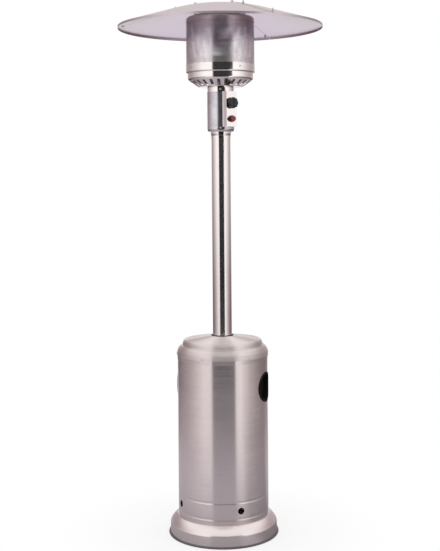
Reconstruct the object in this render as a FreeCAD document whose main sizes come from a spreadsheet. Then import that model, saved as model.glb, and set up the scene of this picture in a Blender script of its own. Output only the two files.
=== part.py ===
import FreeCAD, Part
import math
import os

import Sketcher

# A free-standing gas patio heater, in millimetres, +Z up, its control panel facing -Y.
# The origin is on the floor, under the middle of the post.
# An azimuth is measured from the front (-Y), in degrees, growing towards +X.
# A name ends in _dia for a diameter, _z for a height over the floor, _out for a distance from
# the middle axis and _turn for an azimuth.

doc = FreeCAD.newDocument("patio_heater")
sheet = doc.addObject("Spreadsheet::Sheet", "Sizes")

SIZES = {
    # gaps and cutting shapes
    "fit": 0.1,
    "seat": 0.05,
    "rest": 0.2,
    "play": 0.3,
    "slack": 0.5,
    "edge": 1,
    "past": 10,
    # screws
    "screw_dia": 4,
    "screw_hole_dia": 4.4,
    "trim_head_dia": 7,
    "trim_head_high": 1.8,
    "trim_screw_long": 6,
    "can_head_dia": 8,
    "can_head_high": 2.4,
    "can_screw_long": 8,
    "neck_head_dia": 9,
    "neck_head_high": 3,
    "neck_screw_long": 6,
    # base
    "foot_ring_dia": 464.5,
    "foot_ring_high": 8,
    "foot_ring_bore": 432,
    "foot_ledge_z": 3.5,
    "foot_step": 1.8,
    "foot_edge": 3,
    "foot_round": 4,
    "base_plate_dia": 448,
    "base_plate_thick": 2,
    "base_sheet": 1.2,
    "base_hem": 12,
    "base_foot_dia": 453,
    "base_wall_dia": 449.4,
    "base_shoulder_z": 46.4,
    "base_crown_dia": 446.4,
    "base_crown_z": 52.1,
    "base_crown_round": 15,
    "base_brow_dia": 390,
    "base_brow_z": 81.45,
    "base_brow_round": 67,
    "base_edge_dia": 384.2,
    "base_edge_z": 82.2,
    "base_edge_round": 6,
    "base_lip_dia": 375,
    "base_lip_z": 97.7,
    "ballast_dia": 412,
    "ballast_top_z": 65,
    "ballast_round": 12,
    "filler_turn": 6,
    "filler_out": 176,
    "filler_dia": 32,
    "filler_deep": 8,
    "filler_cap_dia": 38,
    "filler_cap_high": 4,
    "notch_wide": 38,
    "notch_long": 60,
    "notch_inner": 163,
    # legs that carry the post over the gas bottle
    "leg_turn": 66,
    "leg_wide": 30,
    "leg_thick": 4,
    "leg_out": 174,
    "leg_foot_out": 204,
    "leg_foot_bend": 6,
    "leg_tab_in": 46,
    "leg_top_z": 746,
    "leg_bend": 12,
    "leg_bolt_out": 190,
    "leg_bolt_apart": 14,
    "leg_bolt_dia": 6,
    "leg_bolt_hole_dia": 6.6,
    "leg_bolt_head_dia": 11,
    "leg_bolt_head_high": 4,
    # post
    "mount_plate_dia": 146,
    "mount_plate_thick": 5,
    "mount_plate_bore": 44,
    "flange_bolt_out": 58,
    "flange_bolt_dia": 8,
    "flange_bolt_hole_dia": 8.4,
    "flange_bolt_head_dia": 14,
    "flange_bolt_head_high": 5,
    "flange_bolt_long": 26,
    "flange_nut_dia": 15,
    "flange_nut_high": 6.5,
    "post_dia": 80,
    "post_wall": 1.5,
    "post_top_z": 1723,
    "collar_bottom_z": 1669,
    "collar_top_z": 1693.5,
    "collar_ring_high": 9,
    "collar_flare": 3,
    "collar_round": 60,
    # gas line
    "hose_dia": 10,
    "hose_bottom_z": 731,
    "hose_nut_dia": 18,
    "hose_nut_high": 22,
    "regulator_dia": 64,
    "regulator_bottom_z": 707,
    "regulator_inlet_dia": 26,
    "regulator_inlet_z": 710,
    "regulator_disc_z": 711,
    "regulator_disc_top_z": 718,
    "regulator_rim": 2,
    "regulator_dome_dia": 40,
    "regulator_dome_z": 723,
    "regulator_neck_z": 725,
    "coupling_dia": 32,
    "coupling_bore": 21.8,
    "coupling_bottom_z": 691,
    "coupling_thread": 13,
    "coupling_round": 4,
    # tank housing
    "housing_turn": 36,
    "shell_dia": 381,
    "shell_sheet": 0.8,
    "shell_bottom_z": 82.5,
    "shell_top_z": 770,
    "groove_low_z": 107,
    "groove_mid_z": 174,
    "groove_half": 6.5,
    "groove_deep": 0.9,
    "vent_dia": 28,
    "vent_z": 139,
    "vent_offset": 42,
    "vents": 4,
    "grip_z": 626.5,
    "grip_dia": 125,
    "grip_mouth_dia": 112,
    "grip_wall": 2,
    "grip_floor_out": 166,
    "grip_stand": 2.8,
    "grip_lap": 0.8,
    "grip_inset": 1.2,
    "lid_sheet": 0.8,
    "lid_dia": 383.2,
    "lid_bottom_z": 738.5,
    "lid_skirt_z": 755.5,
    "lid_fold_dia": 385.6,
    "lid_waist_dia": 381.2,
    "lid_waist_z": 776,
    "lid_waist_round": 80,
    "lid_crease_dia": 378.8,
    "lid_crease_z": 777,
    "lid_shoulder_dia": 351,
    "lid_shoulder_z": 795,
    "lid_shoulder_round": 34,
    "lid_step_dia": 339,
    "lid_step_z": 796.5,
    "lid_rise_dia": 335,
    "lid_rise_z": 806,
    "lid_plateau_dia": 320,
    "lid_plateau_z": 818,
    "lid_plateau_round": 14,
    "lid_hole_dia": 90,
    "lid_top_z": 835,
    "lid_screw_z": 761,
    "lid_screws": 6,
    "grommet_bore": 81.6,
    "grommet_lip": 3,
    "grommet_deep": 5,
    "grommet_flange": 2.6,
    "grommet_groove": 0.4,
    "grommet_brow": 2.2,
    "grommet_round": 2.4,
    # valve housing under the burner
    "can_dia": 113,
    "can_sheet": 1,
    "can_bottom_z": 1694,
    "can_top_z": 1861,
    "can_round": 11,
    "can_screw_z": 1710,
    "adapter_bottom_z": 1704,
    "adapter_shoulder_z": 1706,
    "adapter_top_z": 1717,
    "neck_dia": 110.6,
    "neck_wall": 1.2,
    "neck_bottom_z": 1845,
    "neck_top_z": 1887,
    "neck_screw_z": 1871,
    "neck_notch_high": 7,
    "screw_turn": 35,
    "shelf_thick": 1.5,
    "shelf_jet_hole_dia": 14.6,
    "lead_hole_dia": 6.8,
    # control panel
    "panel_wide": 50.5,
    "panel_out": 80,
    "panel_back": 40,
    "panel_bottom_z": 1714,
    "panel_sheet": 1.2,
    "panel_edge": 1,
    "panel_window": 42,
    "panel_margin": 6,
    "valve_wide": 44,
    "valve_deep": 52,
    "valve_bottom_z": 1781,
    "valve_high": 67,
    "bonnet_dia": 22,
    "bonnet_out": 56,
    "stem_dia": 6,
    "stem_in": 30,
    "stem_hole_dia": 12,
    "stem_grip": 9,
    "stem_flat_up": 1.6,
    "push_ring_dia": 16,
    "push_ring_in": 63,
    "push_ring_thick": 5,
    "knob_z": 1812,
    "knob_dia": 47,
    "knob_thick": 16,
    "knob_back": 83.8,
    "knob_hub_dia": 38,
    "knob_hub_thick": 3,
    "knob_taper": 0.6,
    "knob_round": 3,
    "knob_flutes": 8,
    "flute_dia": 40,
    "flute_out": 41.9,
    "pointer_wide": 3.4,
    "pointer_deep": 2.4,
    "pointer_margin": 6,
    "igniter_z": 1746.5,
    "igniter_in": 46,
    "igniter_bezel_dia": 28,
    "igniter_bezel_thick": 7,
    "igniter_body_dia": 24.6,
    "igniter_bore_in": 57,
    "igniter_nut_dia": 31.6,
    "igniter_nut_thick": 4.9,
    "button_dia": 22,
    "button_out": 98,
    "button_back": 66,
    "button_round": 2,
    "switch_wide": 15,
    "switch_deep": 20,
    "switch_high": 30,
    "jet_dia": 14,
    "jet_tip_dia": 8,
    "jet_shoulder": 13,
    "jet_high": 19,
    # burner head
    "bowl_sheet": 1.2,
    "bowl_flat_z": 1881,
    "bowl_flat_dia": 184,
    "bowl_flat_rise": 1,
    "bowl_knee_dia": 264,
    "bowl_knee_z": 1909,
    "bowl_round": 11,
    "bowl_dia": 275,
    "bowl_wall_z": 1918,
    "bowl_top_z": 1943,
    "slot_wide": 12.5,
    "slot_inner": 97,
    "slot_outer": 128,
    "slots": 24,
    "band_dia": 289,
    "band_sheet": 1,
    "band_round": 6,
    "band_bottom_z": 1939,
    "band_top_z": 1975,
    "band_screw_z": 1960,
    "band_screws": 4,
    "screen_dia": 286.6,
    "screen_sheet": 0.8,
    "screen_top_z": 2156.5,
    "cap_bottom_z": 2150,
    "cap_top_z": 2177,
    "cap_round": 14,
    "floor_z": 1943.2,
    "floor_thick": 1.5,
    "mixer_dia": 32,
    "mixer_wall": 1.5,
    "mixer_bottom_z": 1869,
    "mixer_top_z": 1957,
    "air_port_dia": 12,
    "air_port_z": 1887,
    "air_ports": 4,
    "burner_dia": 124,
    "burner_sheet": 1.5,
    "burner_collar": 1.6,
    "burner_collar_z": 1951,
    "burner_shoulder_dia": 108,
    "burner_shoulder_z": 1961,
    "burner_edge_z": 1969,
    "burner_crown_z": 1979,
    "burner_top_z": 1983,
    "burner_round": 9,
    "burner_flat_dia": 28,
    "slit_wide": 3,
    "slit_long": 26,
    "slit_inner": 24,
    "slits": 16,
    "bracket_wide": 44,
    "bracket_out": 82,
    "bracket_high": 26,
    "bracket_deep": 14,
    "bracket_thick": 1.5,
    "lead_apart": 14,
    "lead_out": 30,
    "lead_bend": 14,
    "lead_slant_z": 1885,
    "lead_upright_z": 1919,
    "pilot_out": 76,
    "thermocouple_dia": 5,
    "thermocouple_tip_z": 1973.2,
    "electrode_dia": 4.4,
    "electrode_tip_z": 1979.2,
    "pilot_dia": 6,
    "pilot_tip_z": 1967.2,
    # reflector
    "dome_dia": 860,
    "dome_sheet": 1,
    "dome_rim_z": 2137,
    "dome_lip": 9,
    "dome_rise": 94,
    "dome_slope": 16.5,
    "dome_hole_dia": 24,
    "sector_angle": 120,
    "sector_turn": -5.7,
    "seam_gap_angle": 0.12,
    "seam_angle": 3.4,
    "riser_angle": 1,
    "seam_rise": 1.2,
    "seam_lap": 0.15,
    "riser_sunk": 0.5,
    "seam_inner": 130,
    "seam_margin": 2,
    "seam_bolt_inner": 189,
    "seam_bolt_outer": 408,
    "seam_bolt_dia": 5,
    "seam_hole_dia": 5.6,
    "seam_head_dia": 9,
    "seam_head_high": 2.6,
    "seam_bolt_end": 12,
    "seam_nut_high": 4,
    "stud_out": 114,
    "stud_turn": -8,
    "stud_dia": 6,
    "stud_hole_dia": 6.8,
    "stud_sunk": 6,
    "stud_end": 5,
    "spacer_dia": 12,
    "cap_nut_high": 9,
    "cap_nut_wall_high": 4.5,
    "cap_nut_brow_dia": 9.2,
    "cap_nut_brow_high": 7.2,
    "cap_nut_tip_dia": 2.8,
    "cap_nut_round": 5,
    "cap_nut_inside_high": 5.6,
}


def text_of(value):
    return value.text if isinstance(value, Size) else f"{float(value):.6f}"


class Size:
    """A number from the sheet, or worked out from it, with the formula that features are bound to."""

    def __init__(self, value, text):
        self.value = float(value)
        self.text = text

    def __float__(self):
        return self.value

    def __add__(self, other):
        return Size(self.value + float(other), f"({self.text} + {text_of(other)})")

    def __sub__(self, other):
        return Size(self.value - float(other), f"({self.text} - {text_of(other)})")

    def __rsub__(self, other):
        return Size(float(other) - self.value, f"({text_of(other)} - {self.text})")

    def __mul__(self, other):
        return Size(self.value * float(other), f"({self.text} * {text_of(other)})")

    def __truediv__(self, other):
        return Size(self.value / float(other), f"({self.text} / {text_of(other)})")

    def __neg__(self):
        return Size(-self.value, f"(0 - {self.text})")

    __radd__ = __add__
    __rmul__ = __mul__


class Dims:
    """The sheet's cells, read by name."""


def fill_sheet():
    """Writes every driving size to the sheet and returns them as Size objects."""
    dims = Dims()
    for row, (alias, value) in enumerate(SIZES.items(), start=1):
        sheet.set(f"A{row}", alias)
        sheet.set(f"B{row}", str(value))
        sheet.setAlias(f"B{row}", alias)
        setattr(dims, alias, Size(value, f"Sizes.{alias}"))
    doc.recompute()
    return dims


d = fill_sheet()
subparts = []


def keep(thing):
    """Marks a finished object as a sub-part that gets its own file."""
    subparts.append(thing)
    return thing


def bind(thing, prop, value):
    """Sets a property, by a formula where the value comes from the sheet."""
    if isinstance(value, Size):
        thing.setExpression(prop, value.text)
    else:
        setattr(thing, prop, float(value))


def place(thing, x, y, z, rotation=None):
    """Puts an object at a point whose coordinates follow the sheet."""
    thing.Placement = FreeCAD.Placement(
        FreeCAD.Vector(float(x), float(y), float(z)), rotation or FreeCAD.Rotation()
    )
    for axis, value in zip("xyz", (x, y, z)):
        if isinstance(value, Size):
            thing.setExpression(f"Placement.Base.{axis}", value.text)
    return thing


def turned_by(azimuth):
    """The rotation that carries the front (-Y) to an azimuth."""
    return FreeCAD.Rotation(FreeCAD.Vector(0, 0, 1), float(azimuth))


def outward(azimuth):
    """Unit vector of an azimuth: its X and Y."""
    angle = math.radians(float(azimuth))
    return math.sin(angle), -math.cos(angle)


FORWARD = FreeCAD.Rotation(FreeCAD.Vector(1, 0, 0), 90)  # turns +Z to -Y
UPSIDE_DOWN = FreeCAD.Rotation(FreeCAD.Vector(1, 0, 0), 180)


def rod(name, radius, long, x=0, y=0, z=0, rotation=None):
    """A cylinder that starts at a point and runs along +Z, or as its rotation says."""
    thing = doc.addObject("Part::Cylinder", name)
    bind(thing, "Radius", radius)
    bind(thing, "Height", long)
    return place(thing, x, y, z, rotation)


def radial_rod(name, radius, start, end, z, azimuth):
    """A cylinder along an azimuth, between two distances from the middle axis."""
    ux, uy = outward(azimuth)
    rotation = turned_by(azimuth).multiply(FORWARD)
    return rod(name, radius, end - start, start * ux, start * uy, z, rotation)


def wall_hole(name, dia, out, z, azimuth):
    """A rod that cuts a round hole through a wall at a distance from the middle axis."""
    return radial_rod(name, dia / 2, out - d.past, out + d.past, z, azimuth)


def plate_hole(name, dia, x, y, z):
    """A rod that cuts a round hole through a plate at a height."""
    return rod(name, dia / 2, d.past * 2, x, y, z - d.past)


def block(name, wide, deep, high, x, y, z, rotation=None):
    """A box whose lowest corner is at a point, before its rotation."""
    thing = doc.addObject("Part::Box", name)
    bind(thing, "Length", wide)
    bind(thing, "Width", deep)
    bind(thing, "Height", high)
    return place(thing, x, y, z, rotation)


def radial_block(name, long, wide, high, start, z, azimuth):
    """A box that runs out along an azimuth from a distance off the middle axis."""
    ux, uy = outward(azimuth)
    x = start * ux + wide / 2 * uy
    y = start * uy - wide / 2 * ux
    return block(name, long, wide, high, x, y, z, turned_by(float(azimuth) - 90))


def fuse(name, *shapes):
    thing = doc.addObject("Part::MultiFuse", name)
    thing.Shapes = list(shapes)
    return thing


def cut(name, base, *tools):
    thing = doc.addObject("Part::Cut", name)
    thing.Base = base
    thing.Tool = tools[0] if len(tools) == 1 else fuse(name + "_tools", *tools)
    return thing


def common(name, *shapes):
    thing = doc.addObject("Part::MultiCommon", name)
    thing.Shapes = list(shapes)
    return thing


def group(name, shapes):
    """Separate solids that share one node, such as a set of screws."""
    thing = doc.addObject("Part::Compound", name)
    thing.Links = list(shapes)
    return thing


def arc_centre(start, end, radius):
    """Middle of the short arc from start to end, on the left of the way for a positive radius."""
    dx, dy = end[0] - start[0], end[1] - start[1]
    half = math.hypot(dx, dy) / 2
    off = math.sqrt(max(radius * radius - half * half, 0.0)) * math.copysign(1, radius)
    return (start[0] + end[0]) / 2 - dy / (2 * half) * off, (start[1] + end[1]) / 2 + dx / (2 * half) * off


def arc_between(start, end, radius):
    """The short arc from start to end, and the numbers of its ends there. Arcs always run leftwards."""
    cx, cy = arc_centre(start, end, radius)
    first, last = (start, end) if radius > 0 else (end, start)
    low, high = (math.atan2(p[1] - cy, p[0] - cx) for p in (first, last))
    if high < low:
        high += math.tau
    circle = Part.Circle(FreeCAD.Vector(cx, cy, 0), FreeCAD.Vector(0, 0, 1), abs(radius))
    ends = (1, 2) if radius > 0 else (2, 1)
    return Part.ArcOfCircle(circle, low, high), *ends


def outline(sketch, points):
    """Draws a closed outline. A point is (x, y), or (x, y, r) where an arc of radius r leads to it,
    turning left for a positive r. Every corner is held by its two distances from the origin."""
    flat = [(float(p[0]), float(p[1])) for p in points]
    following = points[1:] + points[:1]
    shapes, starts, ends = [], [], []
    for start, end, after in zip(flat, flat[1:] + flat[:1], following):
        if len(after) == 3:
            shape, first, last = arc_between(start, end, float(after[2]))
        else:
            shape = Part.LineSegment(FreeCAD.Vector(*start, 0), FreeCAD.Vector(*end, 0))
            first, last = 1, 2
        shapes.append(shape)
        starts.append(first)
        ends.append(last)
    sketch.addGeometry(shapes, False)
    hold_outline(sketch, points, starts, ends)
    return sketch


def hold_outline(sketch, points, starts, ends):
    """Joins an outline's pieces and ties each corner and radius to its formula."""
    rules, formulas = [], []

    def rule(value, *facts):
        rules.append(Sketcher.Constraint(*facts, float(value)))
        if isinstance(value, Size):
            formulas.append((len(rules) - 1, value.text))

    for i, point in enumerate(points):
        before = (i - 1) % len(points)
        rules.append(Sketcher.Constraint("Coincident", before, ends[before], i, starts[i]))
        for kind, value, axis in (("DistanceX", point[0], -2), ("DistanceY", point[1], -1)):
            if float(value) == 0:
                rules.append(Sketcher.Constraint("PointOnObject", i, starts[i], axis))
            else:
                rule(value, kind, -1, 1, i, starts[i])
        if len(point) == 3:
            rule(point[2] if float(point[2]) > 0 else -point[2], "Radius", before)
    sketch.addConstraint(rules)
    for number, text in formulas:
        sketch.setExpression(f"Constraints[{number}]", text)


def upright_profile(body, points):
    """A sketch with a closed outline on the body's own upright plane."""
    plane = next(f for f in body.Origin.OriginFeatures if f.Role == "XZ_Plane")
    sketch = body.newObject("Sketcher::SketchObject", body.Name + "_profile")
    sketch.AttachmentSupport = [(plane, "")]
    sketch.MapMode = "FlatFace"
    sketch.Visibility = False
    return outline(sketch, points)


def turned(name, points, angle=360):
    """A body turned about the middle axis from a profile of (radius, z) points."""
    body = doc.addObject("PartDesign::Body", name)
    profile = upright_profile(body, points)
    feature = body.newObject("PartDesign::Revolution", name + "_turned")
    feature.Profile = profile
    feature.ReferenceAxis = (profile, ["V_Axis"])
    bind(feature, "Angle", angle)
    return body


def padded(name, points, long):
    """A body made by padding an upright outline to both sides alike."""
    body = doc.addObject("PartDesign::Body", name)
    feature = body.newObject("PartDesign::Pad", name + "_pad")
    feature.Profile = upright_profile(body, points)
    bind(feature, "Length", long)
    feature.Midplane = True
    return body


def thicken(path, thick):
    """Closes an open path into a sheet's profile, with the sheet's thickness on the left of the way."""
    flat = [(float(p[0]), float(p[1])) for p in path]
    into, out_of = {}, {}
    for i in range(len(path) - 1):
        (ax, ay), (bx, by) = flat[i], flat[i + 1]
        way = math.atan2(by - ay, bx - ax)
        bend = 0.0
        if len(path[i + 1]) == 3:
            radius = float(path[i + 1][2])
            bend = math.asin(min(1.0, math.hypot(bx - ax, by - ay) / (2 * abs(radius))))
            bend = math.copysign(bend, radius)
        out_of[i] = way - bend
        into[i + 1] = way + bend
    inner = []
    for i, point in enumerate(path):
        ways = [w[i] for w in (into, out_of) if i in w]
        normals = [(-math.sin(w), math.cos(w)) for w in ways]
        nx = sum(n[0] for n in normals)
        ny = sum(n[1] for n in normals)
        scale = len(normals) / (nx * nx + ny * ny)
        inner.append([point[0] + thick * (nx * scale), point[1] + thick * (ny * scale)])
    for i in range(1, len(path)):
        if len(path[i]) == 3:
            inner[i - 1].append(-(path[i][2] - thick))
    return [tuple(p) for p in path] + [tuple(p) for p in reversed(inner)]


def screw(name, kind, long, x, y, z, rotation=None):
    """A screw whose head's underside is at the given point and whose shank runs the other way.
    Its kind is (head diameter, head height, shank diameter)."""
    head_dia, head_high, shank_dia = kind
    head = rod(name + "_head", head_dia / 2, head_high)
    shank = rod(name + "_shank", shank_dia / 2, long, 0, 0, -long)
    return place(fuse(name, head, shank), x, y, z, rotation)


def radial_screws(name, kind, long, out, z, azimuths):
    """A node of screws driven inwards, with their heads' undersides at a distance from the axis."""
    made = []
    for i, azimuth in enumerate(azimuths):
        ux, uy = outward(azimuth)
        rotation = turned_by(azimuth).multiply(FORWARD)
        made.append(screw(f"{name}_{i}", kind, long, out * ux, out * uy, z, rotation))
    return keep(group(name, made))


def all_round(count, start=0.0):
    """Azimuths of evenly spread places."""
    number = round(float(count))
    return [float(start) + 360 / number * i for i in range(number)]


def tube_along(name, points, radius, bend):
    """A round rod along straight runs joined by tangent arcs of one bend radius."""
    corners = [FreeCAD.Vector(*map(float, p)) for p in points]
    edges, at = [], corners[0]
    for before, corner, after in zip(corners, corners[1:], corners[2:]):
        back = (before - corner).normalize()
        on = (after - corner).normalize()
        half = back.getAngle(on) / 2
        reach = float(bend) / math.tan(half)
        first, last = corner + back * reach, corner + on * reach
        middle = corner + (back + on).normalize() * (float(bend) / math.sin(half) - float(bend))
        edges.append(Part.LineSegment(at, first).toShape())
        edges.append(Part.Arc(first, middle, last).toShape())
        at = last
    edges.append(Part.LineSegment(at, corners[-1]).toShape())
    circle = Part.Circle(corners[0], corners[1] - corners[0], float(radius)).toShape()
    thing = doc.addObject("Part::Feature", name)
    thing.Shape = Part.Wire(edges).makePipeShell([Part.Wire(circle)], True, True)
    return thing


TRIM_SCREW = (d.trim_head_dia, d.trim_head_high, d.screw_dia)
CAN_SCREW = (d.can_head_dia, d.can_head_high, d.screw_dia)
NECK_SCREW = (d.neck_head_dia, d.neck_head_high, d.screw_dia)
LEG_BOLT = (d.leg_bolt_head_dia, d.leg_bolt_head_high, d.leg_bolt_dia)
FLANGE_BOLT = (d.flange_bolt_head_dia, d.flange_bolt_head_high, d.flange_bolt_dia)
SEAM_BOLT = (d.seam_head_dia, d.seam_head_high, d.seam_bolt_dia)


# The base: a rubber foot ring, a plate, a pressed cover, and ballast round the legs' feet.
def plate_top_z():
    return d.foot_ledge_z + d.base_plate_thick


def make_base():
    ring = d.foot_ring_dia / 2
    inner = d.foot_ring_bore / 2
    step = d.base_foot_dia / 2 + d.slack
    rim = d.base_plate_dia / 2 + d.slack
    keep(turned("foot_ring", [
        (inner, 0),
        (ring - d.foot_edge, 0),
        (ring, d.foot_edge, d.foot_edge),
        (ring, d.foot_ring_high - d.foot_round),
        (ring - d.foot_round, d.foot_ring_high, d.foot_round),
        (step, d.foot_ring_high),
        (step, d.foot_ledge_z + d.foot_step),
        (rim, d.foot_ledge_z + d.foot_step),
        (rim, d.foot_ledge_z),
        (inner, d.foot_ledge_z),
    ]))
    plate = rod("base_plate_disc", d.base_plate_dia / 2, d.base_plate_thick, 0, 0, d.foot_ledge_z)
    holes = [
        plate_hole(f"base_plate_hole_{i}", d.leg_bolt_hole_dia, *xy, d.foot_ledge_z)
        for i, xy in enumerate(leg_bolt_places())
    ]
    keep(cut("base_plate", plate, *holes))
    keep(turned("base_cover", thicken([
        (d.base_foot_dia / 2 - d.base_hem, plate_top_z()),
        (d.base_foot_dia / 2, plate_top_z()),
        (d.base_wall_dia / 2, d.base_shoulder_z),
        (d.base_crown_dia / 2, d.base_crown_z, d.base_crown_round),
        (d.base_brow_dia / 2, d.base_brow_z, d.base_brow_round),
        (d.base_edge_dia / 2, d.base_edge_z, d.base_edge_round),
        (d.base_lip_dia / 2, d.base_edge_z),
        (d.base_lip_dia / 2, d.base_lip_z),
    ], d.base_sheet)))
    make_ballast()


def make_ballast():
    """A round tank on the plate with a notch for each leg and a cap over its filling hole."""
    low = plate_top_z() + d.rest
    top = d.ballast_top_z
    wall = d.ballast_dia / 2
    drum = turned("ballast_drum", [
        (0, low),
        (wall, low),
        (wall, top - d.ballast_round),
        (wall - d.ballast_round, top, d.ballast_round),
        (0, top),
    ])
    notches = [
        radial_block(f"ballast_notch_{i}", d.notch_long, d.notch_wide, top + d.past, d.notch_inner, 0, a)
        for i, a in enumerate(leg_azimuths())
    ]
    ux, uy = outward(d.filler_turn)
    x, y = d.filler_out * ux, d.filler_out * uy
    filler = rod("ballast_filler_hole", d.filler_dia / 2, d.filler_deep + d.past, x, y, top - d.filler_deep)
    keep(cut("ballast_tank", drum, *notches, filler))
    neck = d.filler_dia / 2 - d.play
    edge = d.filler_cap_dia / 2
    keep(place(turned("ballast_filler_cap", [
        (0, d.play - d.filler_deep),
        (neck, d.play - d.filler_deep),
        (neck, d.rest),
        (edge, d.rest),
        (edge, d.filler_cap_high - d.edge),
        (edge - d.edge, d.filler_cap_high, d.edge),
        (0, d.filler_cap_high),
    ]), x, y, top))


def leg_azimuths():
    return all_round(3, d.leg_turn)


def leg_bolt_places():
    """Two places on each leg's foot, side by side."""
    places = []
    for ux, uy in map(outward, leg_azimuths()):
        for side in (-1, 1):
            shift = d.leg_bolt_apart / 2 * side
            places.append((d.leg_bolt_out * ux - shift * uy, d.leg_bolt_out * uy + shift * ux))
    return places


def flange_bolt_places():
    return [(d.flange_bolt_out * ux, d.flange_bolt_out * uy) for ux, uy in map(outward, leg_azimuths())]


# Three bent straps stand on the base and carry the post, leaving room for the gas bottle.
def make_legs():
    foot = plate_top_z() + d.leg_thick
    turn, curl = d.leg_bend, d.leg_foot_bend
    bolts = leg_bolt_places()
    for i, (azimuth, tab) in enumerate(zip(leg_azimuths(), flange_bolt_places())):
        strap = padded(f"leg_strap_{i}", thicken([
            (d.leg_foot_out, foot),
            (d.leg_out + curl, foot),
            (d.leg_out, foot + curl, -curl),
            (d.leg_out, d.leg_top_z - turn),
            (d.leg_out - turn, d.leg_top_z, turn),
            (d.leg_tab_in, d.leg_top_z),
        ], d.leg_thick), d.leg_wide)
        strap.Placement = FreeCAD.Placement(FreeCAD.Vector(), turned_by(azimuth - 90))
        holes = [
            plate_hole(f"leg_hole_{i}_{k}", d.leg_bolt_hole_dia, *xy, foot)
            for k, xy in enumerate(bolts[2 * i : 2 * i + 2])
        ]
        holes.append(plate_hole(f"leg_tab_hole_{i}", d.flange_bolt_hole_dia, *tab, d.leg_top_z))
        keep(cut(f"post_leg_{i + 1}", strap, *holes))
    keep(group("leg_bolts", [
        screw(f"leg_bolt_{i}", LEG_BOLT, d.leg_thick + d.base_plate_thick, *xy, foot + d.seat)
        for i, xy in enumerate(bolts)
    ]))


# The post: a mounting plate on the legs, a flange, the tube, and a flared collar at its top.
def make_post():
    bottom = d.leg_top_z
    middle = bottom + d.mount_plate_thick
    top = middle + d.mount_plate_thick
    outer = d.post_dia / 2
    places = flange_bolt_places()
    drilled = []
    for name, low in (("mount", bottom), ("flange", middle)):
        disc = rod(name + "_disc", d.mount_plate_dia / 2, d.mount_plate_thick, 0, 0, low)
        holes = [
            plate_hole(f"{name}_hole_{i}", d.flange_bolt_hole_dia, *xy, low) for i, xy in enumerate(places)
        ]
        drilled.append(cut(name + "_drilled", disc, *holes))
    mount, flange = drilled
    keep(cut("post_mount_plate", mount, plate_hole("mount_bore", d.mount_plate_bore, 0, 0, bottom)))
    tube = rod("post_outside", outer, d.post_top_z - middle, 0, 0, middle)
    inside = rod(
        "post_inside", outer - d.post_wall, d.post_top_z - middle + d.past * 2, 0, 0, middle - d.past
    )
    keep(cut("main_post", fuse("post_welded", flange, tube), inside))
    keep(group("flange_bolts", [
        screw(f"flange_bolt_{i}", FLANGE_BOLT, d.flange_bolt_long, *xy, top + d.seat)
        for i, xy in enumerate(places)
    ]))
    nut_z = bottom - d.leg_thick - d.fit - d.flange_nut_high
    keep(group("flange_nuts", [hex_nut(f"flange_nut_{i}", *xy, nut_z) for i, xy in enumerate(places)]))
    root = outer + d.fit
    low, high = d.collar_bottom_z, d.collar_top_z
    keep(turned("post_collar", [
        (root, low),
        (outer + d.edge, low),
        (outer + d.edge + d.fit, low + d.collar_ring_high),
        (outer + d.collar_flare, high, d.collar_round),
        (root, high),
    ]))


def hex_nut(name, x, y, z):
    body = doc.addObject("Part::Prism", name + "_body")
    body.Polygon = 6
    bind(body, "Circumradius", d.flange_nut_dia / 2)
    bind(body, "Height", d.flange_nut_high)
    place(body, x, y, z)
    return cut(name, body, plate_hole(name + "_bore", d.flange_bolt_dia + d.rest, x, y, z))


# The hose hangs inside the post, from the valve to the regulator over the bottle.
def make_gas_line():
    top, low = d.valve_bottom_z, d.hose_bottom_z
    hose = d.hose_dia / 2
    nut = d.hose_nut_dia / 2
    keep(turned("hose_nut", [
        (hose + d.fit, top - d.hose_nut_high),
        (nut, top - d.hose_nut_high),
        (nut, top),
        (hose + d.fit, top),
    ]))
    keep(rod("gas_hose", hose, top - low, 0, 0, low))
    disc, rim = d.regulator_dia / 2, d.regulator_rim
    inlet = d.regulator_inlet_dia / 2
    keep(turned("regulator_body", [
        (0, d.regulator_bottom_z),
        (inlet, d.regulator_bottom_z),
        (inlet, d.regulator_inlet_z),
        (disc - rim, d.regulator_disc_z),
        (disc, d.regulator_disc_z + rim, rim),
        (disc, d.regulator_disc_top_z - rim),
        (disc - rim, d.regulator_disc_top_z, rim),
        (d.regulator_dome_dia / 2, d.regulator_dome_z),
        (nut, d.regulator_neck_z),
        (nut, low - d.fit),
        (0, low - d.fit),
    ]))
    bore, coupling = d.coupling_bore / 2, d.coupling_dia / 2
    bottom = d.coupling_bottom_z
    seat = bottom + d.coupling_thread
    top = d.regulator_bottom_z - d.fit
    keep(turned("bottle_coupling_nut", [
        (bore, bottom),
        (coupling - d.edge, bottom),
        (coupling, bottom + d.edge, d.edge),
        (coupling, seat),
        (coupling - d.edge, top, d.coupling_round),
        (hose, top),
        (hose, seat),
        (bore, seat),
    ]))


def groove(path, z, half, deep):
    """Adds a shallow round groove, rolled inwards, to a sheet wall's path."""
    out = path[-1][0]
    radius = (half * half + deep * deep) / (deep * 2)
    path.append((out, z - half))
    path.append((out, z + half, -radius))


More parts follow.
